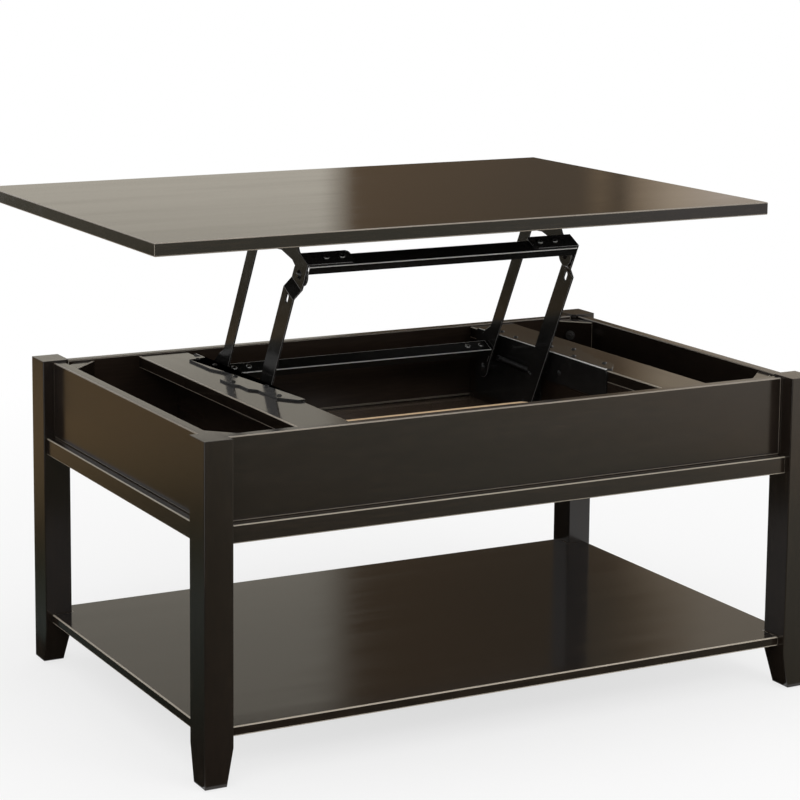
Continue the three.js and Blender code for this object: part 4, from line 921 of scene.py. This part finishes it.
add_floor()
print("floor fades from", FADE_START, "m to", FADE_END, "m")

# %% [markdown]
# ## Lamps
# Five area lamps light the table softly. The key stands high at the front left, one hangs overhead, and one
# fills in from the front. Two low ones, at the front right and the back left, shine in under the raised
# top. Spots or a sun would be simpler, but they draw hard shadows. The front lamp and the low ones are
# hidden from glossy rays, because polished boards would mirror them as bright panels.

# %% Lamps
MIDDLE = (cad_low + cad_high) / 2
# Each lamp's place, its width and height, its power in watts, and whether glossy surfaces mirror it
LAMPS = {
    "key": ((-2.4, -2.6, 3.0), (2.4, 2.4), 28, True),
    "over": ((0.2, 0.6, 3.4), (2.6, 1.6), 24, True),
    "front": ((0.6, -3.2, 2.3), (2.0, 0.8), 24, False),
    "low_front": ((2.1, -3.9, 1.1), (2.6, 1.0), 26, False),
    "low_back": ((-2.9, 3.3, 1.1), (1.8, 0.9), 10, False),
}


def add_lamp(name, place, size, power, mirrored):
    data = bpy.data.lights.new(name, "AREA")
    data.shape = "RECTANGLE"
    data.size, data.size_y = size
    data.energy = power
    lamp = bpy.data.objects.new(name, data)
    scene.collection.objects.link(lamp)
    lamp.location = place
    lamp.rotation_mode = "QUATERNION"
    lamp.rotation_quaternion = (MIDDLE - Vector(place)).to_track_quat("-Z", "Y")
    lamp.visible_camera = False
    lamp.visible_glossy = mirrored


for name, values in LAMPS.items():
    add_lamp(name, *values)
print("lamps:", list(LAMPS))

# %% [markdown]
# ## Flats
# Polished wood looks like what stands around it, and a dark table in an all white room would look grey. A
# picture of a room could be wrapped round the scene, but flats are easier to understand: coloured cards, as
# in a real studio, out of the camera's sight. Pale and brown ones stand behind the table for the top, the
# caps and the shelf to mirror. Others lie on the floor for the upright faces, dark near the table and paler
# away from it. Their stops were set by comparing the render's tones with the photograph's at places on the
# polished faces. Only glossy rays see them, so they neither light nor shade anything.

# %% Helper: a flat
def flat_finish(name, stops):
    """A glow whose colour changes across the flat; each stop is a share of the way and a colour"""
    material = bpy.data.materials.new(name)
    material.use_nodes = True
    tree = material.node_tree
    tree.nodes.remove(tree.nodes["Principled BSDF"])
    glow = add_node(tree, "ShaderNodeEmission")
    across = add_node(tree, "ShaderNodeUVMap", {"uv_map": "across"})
    parts = add_node(tree, "ShaderNodeSeparateXYZ")
    ramp = add_node(tree, "ShaderNodeValToRGB")
    join_nodes(
        tree, (across.outputs["UV"], parts.inputs["Vector"]), (parts.outputs["X"], ramp.inputs[0]),
        (ramp.outputs["Color"], glow.inputs["Color"]),
        (glow.outputs[0], tree.nodes["Material Output"].inputs["Surface"]))
    while len(ramp.color_ramp.elements) < len(stops):
        ramp.color_ramp.elements.new(1.0)
    for element, (share, colour) in zip(ramp.color_ramp.elements, stops):
        element.position = share
        element.color = (*colour, 1)
    return material


def add_flat(name, corners, axis, stops):
    """A card; its stops are given by their places along one axis, from its first corner to its second"""
    mesh = bpy.data.meshes.new(name)
    mesh.from_pydata(corners, [], [(0, 1, 2, 3)])
    layer = mesh.uv_layers.new(name="across")
    for loop, uv in zip(layer.data, ((0, 0), (1, 0), (1, 1), (0, 1))):
        loop.uv = uv
    first, last = corners[0][axis], corners[1][axis]
    shares = [((place - first) / (last - first), colour) for place, colour in stops]
    mesh.materials.append(flat_finish(name, shares))
    flat = bpy.data.objects.new(name, mesh)
    scene.collection.objects.link(flat)
    flat.visible_camera = flat.visible_diffuse = flat.visible_shadow = flat.visible_transmission = False


# %% Flats behind the table
WALL_Y = 6.0
WALL_SPAN = (1.0, 6.5)
PALE = (0.74, 0.69, 0.59)
SOFT_PALE = (0.58, 0.54, 0.46)
BROWN = (0.145, 0.102, 0.064)
DARK_BROWN = (0.11, 0.085, 0.06)


def add_wall(name, x, z, stops):
    corners = [(x[0], WALL_Y, z[0]), (x[1], WALL_Y, z[0]), (x[1], WALL_Y, z[1]), (x[0], WALL_Y, z[1])]
    add_flat(name, corners, 0, stops)


add_wall("wall_low", WALL_SPAN, (0.3, 1.83), (
    (1.0, PALE), (2.9, PALE), (3.06, BROWN), (4.1, DARK_BROWN), (4.27, DARK_BROWN),
    (4.37, (0.21, 0.155, 0.1)), (4.49, DARK_BROWN), (4.6, (0.35, 0.27, 0.19)), (4.83, (0.56, 0.455, 0.35)),
    (5.1, (0.7, 0.6, 0.52)), (6.5, PALE)))
add_wall("wall_middle", WALL_SPAN, (1.83, 2.2), (
    (1.0, SOFT_PALE), (2.92, SOFT_PALE), (3.08, BROWN), (4.1, DARK_BROWN), (4.5, BROWN),
    (4.6, (0.28, 0.21, 0.14)), (4.78, (0.55, 0.45, 0.33)), (6.5, SOFT_PALE)))
add_wall("wall_high", WALL_SPAN, (2.2, 5.0), (
    (1.0, SOFT_PALE), (2.92, SOFT_PALE), (3.08, BROWN), (4.1, DARK_BROWN), (4.43, (0.14, 0.12, 0.09)),
    (4.66, (0.2, 0.15, 0.1)), (4.9, (0.42, 0.34, 0.25)), (5.05, (0.56, 0.48, 0.38)), (6.5, SOFT_PALE)))
add_wall("wall_left", (-5.0, 0.9), (0.3, 1.7), ((-5.0, DARK_BROWN), (0.9, DARK_BROWN)))

# %% Flats on the floor
CARD_Z = 4 * MM
UNDER_TABLE = (-0.6, 0.62)
BLACK = (0.0, 0.0, 0.0)
UMBER = (0.1, 0.075, 0.05)
WARM = (0.36, 0.24, 0.12)
OLIVE = (0.13, 0.11, 0.07)
GREY_OLIVE = (0.23, 0.22, 0.17)
SAGE = (0.58, 0.62, 0.5)
BARE_WHITE = (1, 1, 1)


def add_floor_flat(name, x, y, stops, lengthwise=False):
    """A card on the floor, whose stops run along x, or along y when it is lengthwise"""
    ring = [(x[0], y[0], CARD_Z), (x[1], y[0], CARD_Z), (x[1], y[1], CARD_Z), (x[0], y[1], CARD_Z)]
    if lengthwise:
        add_flat(name, [ring[0], ring[3], ring[2], ring[1]], 1, stops)
    else:
        add_flat(name, ring, 0, stops)


add_floor_flat("floor_left", (-4.2, -0.6), (-0.45, 7.0), (
    (-0.45, BLACK), (0.0, (0.03, 0.05, 0.04)), (0.45, (0.085, 0.11, 0.1)), (0.8, (0.06, 0.07, 0.045)),
    (1.05, (0.11, 0.085, 0.045)), (1.4, (0.25, 0.18, 0.09)), (1.9, WARM), (2.7, WARM), (3.1, OLIVE),
    (4.3, OLIVE), (4.7, GREY_OLIVE), (7.0, GREY_OLIVE)), lengthwise=True)
add_floor_flat("floor_under", UNDER_TABLE, (-0.45, 1.5), ((-0.6, (0.02, 0.02, 0.016)), (0.62, BLACK)))
add_floor_flat("floor_behind", UNDER_TABLE, (1.5, 7.0), ((-0.6, UMBER), (0.62, UMBER)))
add_floor_flat("floor_front", (-1.6, 3.4), (-4.2, -0.47), (
    (-1.6, BLACK), (-0.5, (0.01, 0.01, 0.007)), (-0.1, (0.095, 0.1, 0.066)), (0.4, (0.21, 0.205, 0.155)),
    (0.8, (0.33, 0.34, 0.28)), (1.3, (0.45, 0.45, 0.37)), (1.6, (0.77, 0.62, 0.46)), (1.9, (1, 0.9, 0.76)),
    (3.4, (1, 0.97, 0.93))))
add_floor_flat("floor_far", (0.8, 5.2), (-7.5, -4.2), (
    (0.8, SAGE), (3.3, SAGE), (3.6, BARE_WHITE), (5.2, BARE_WHITE)))
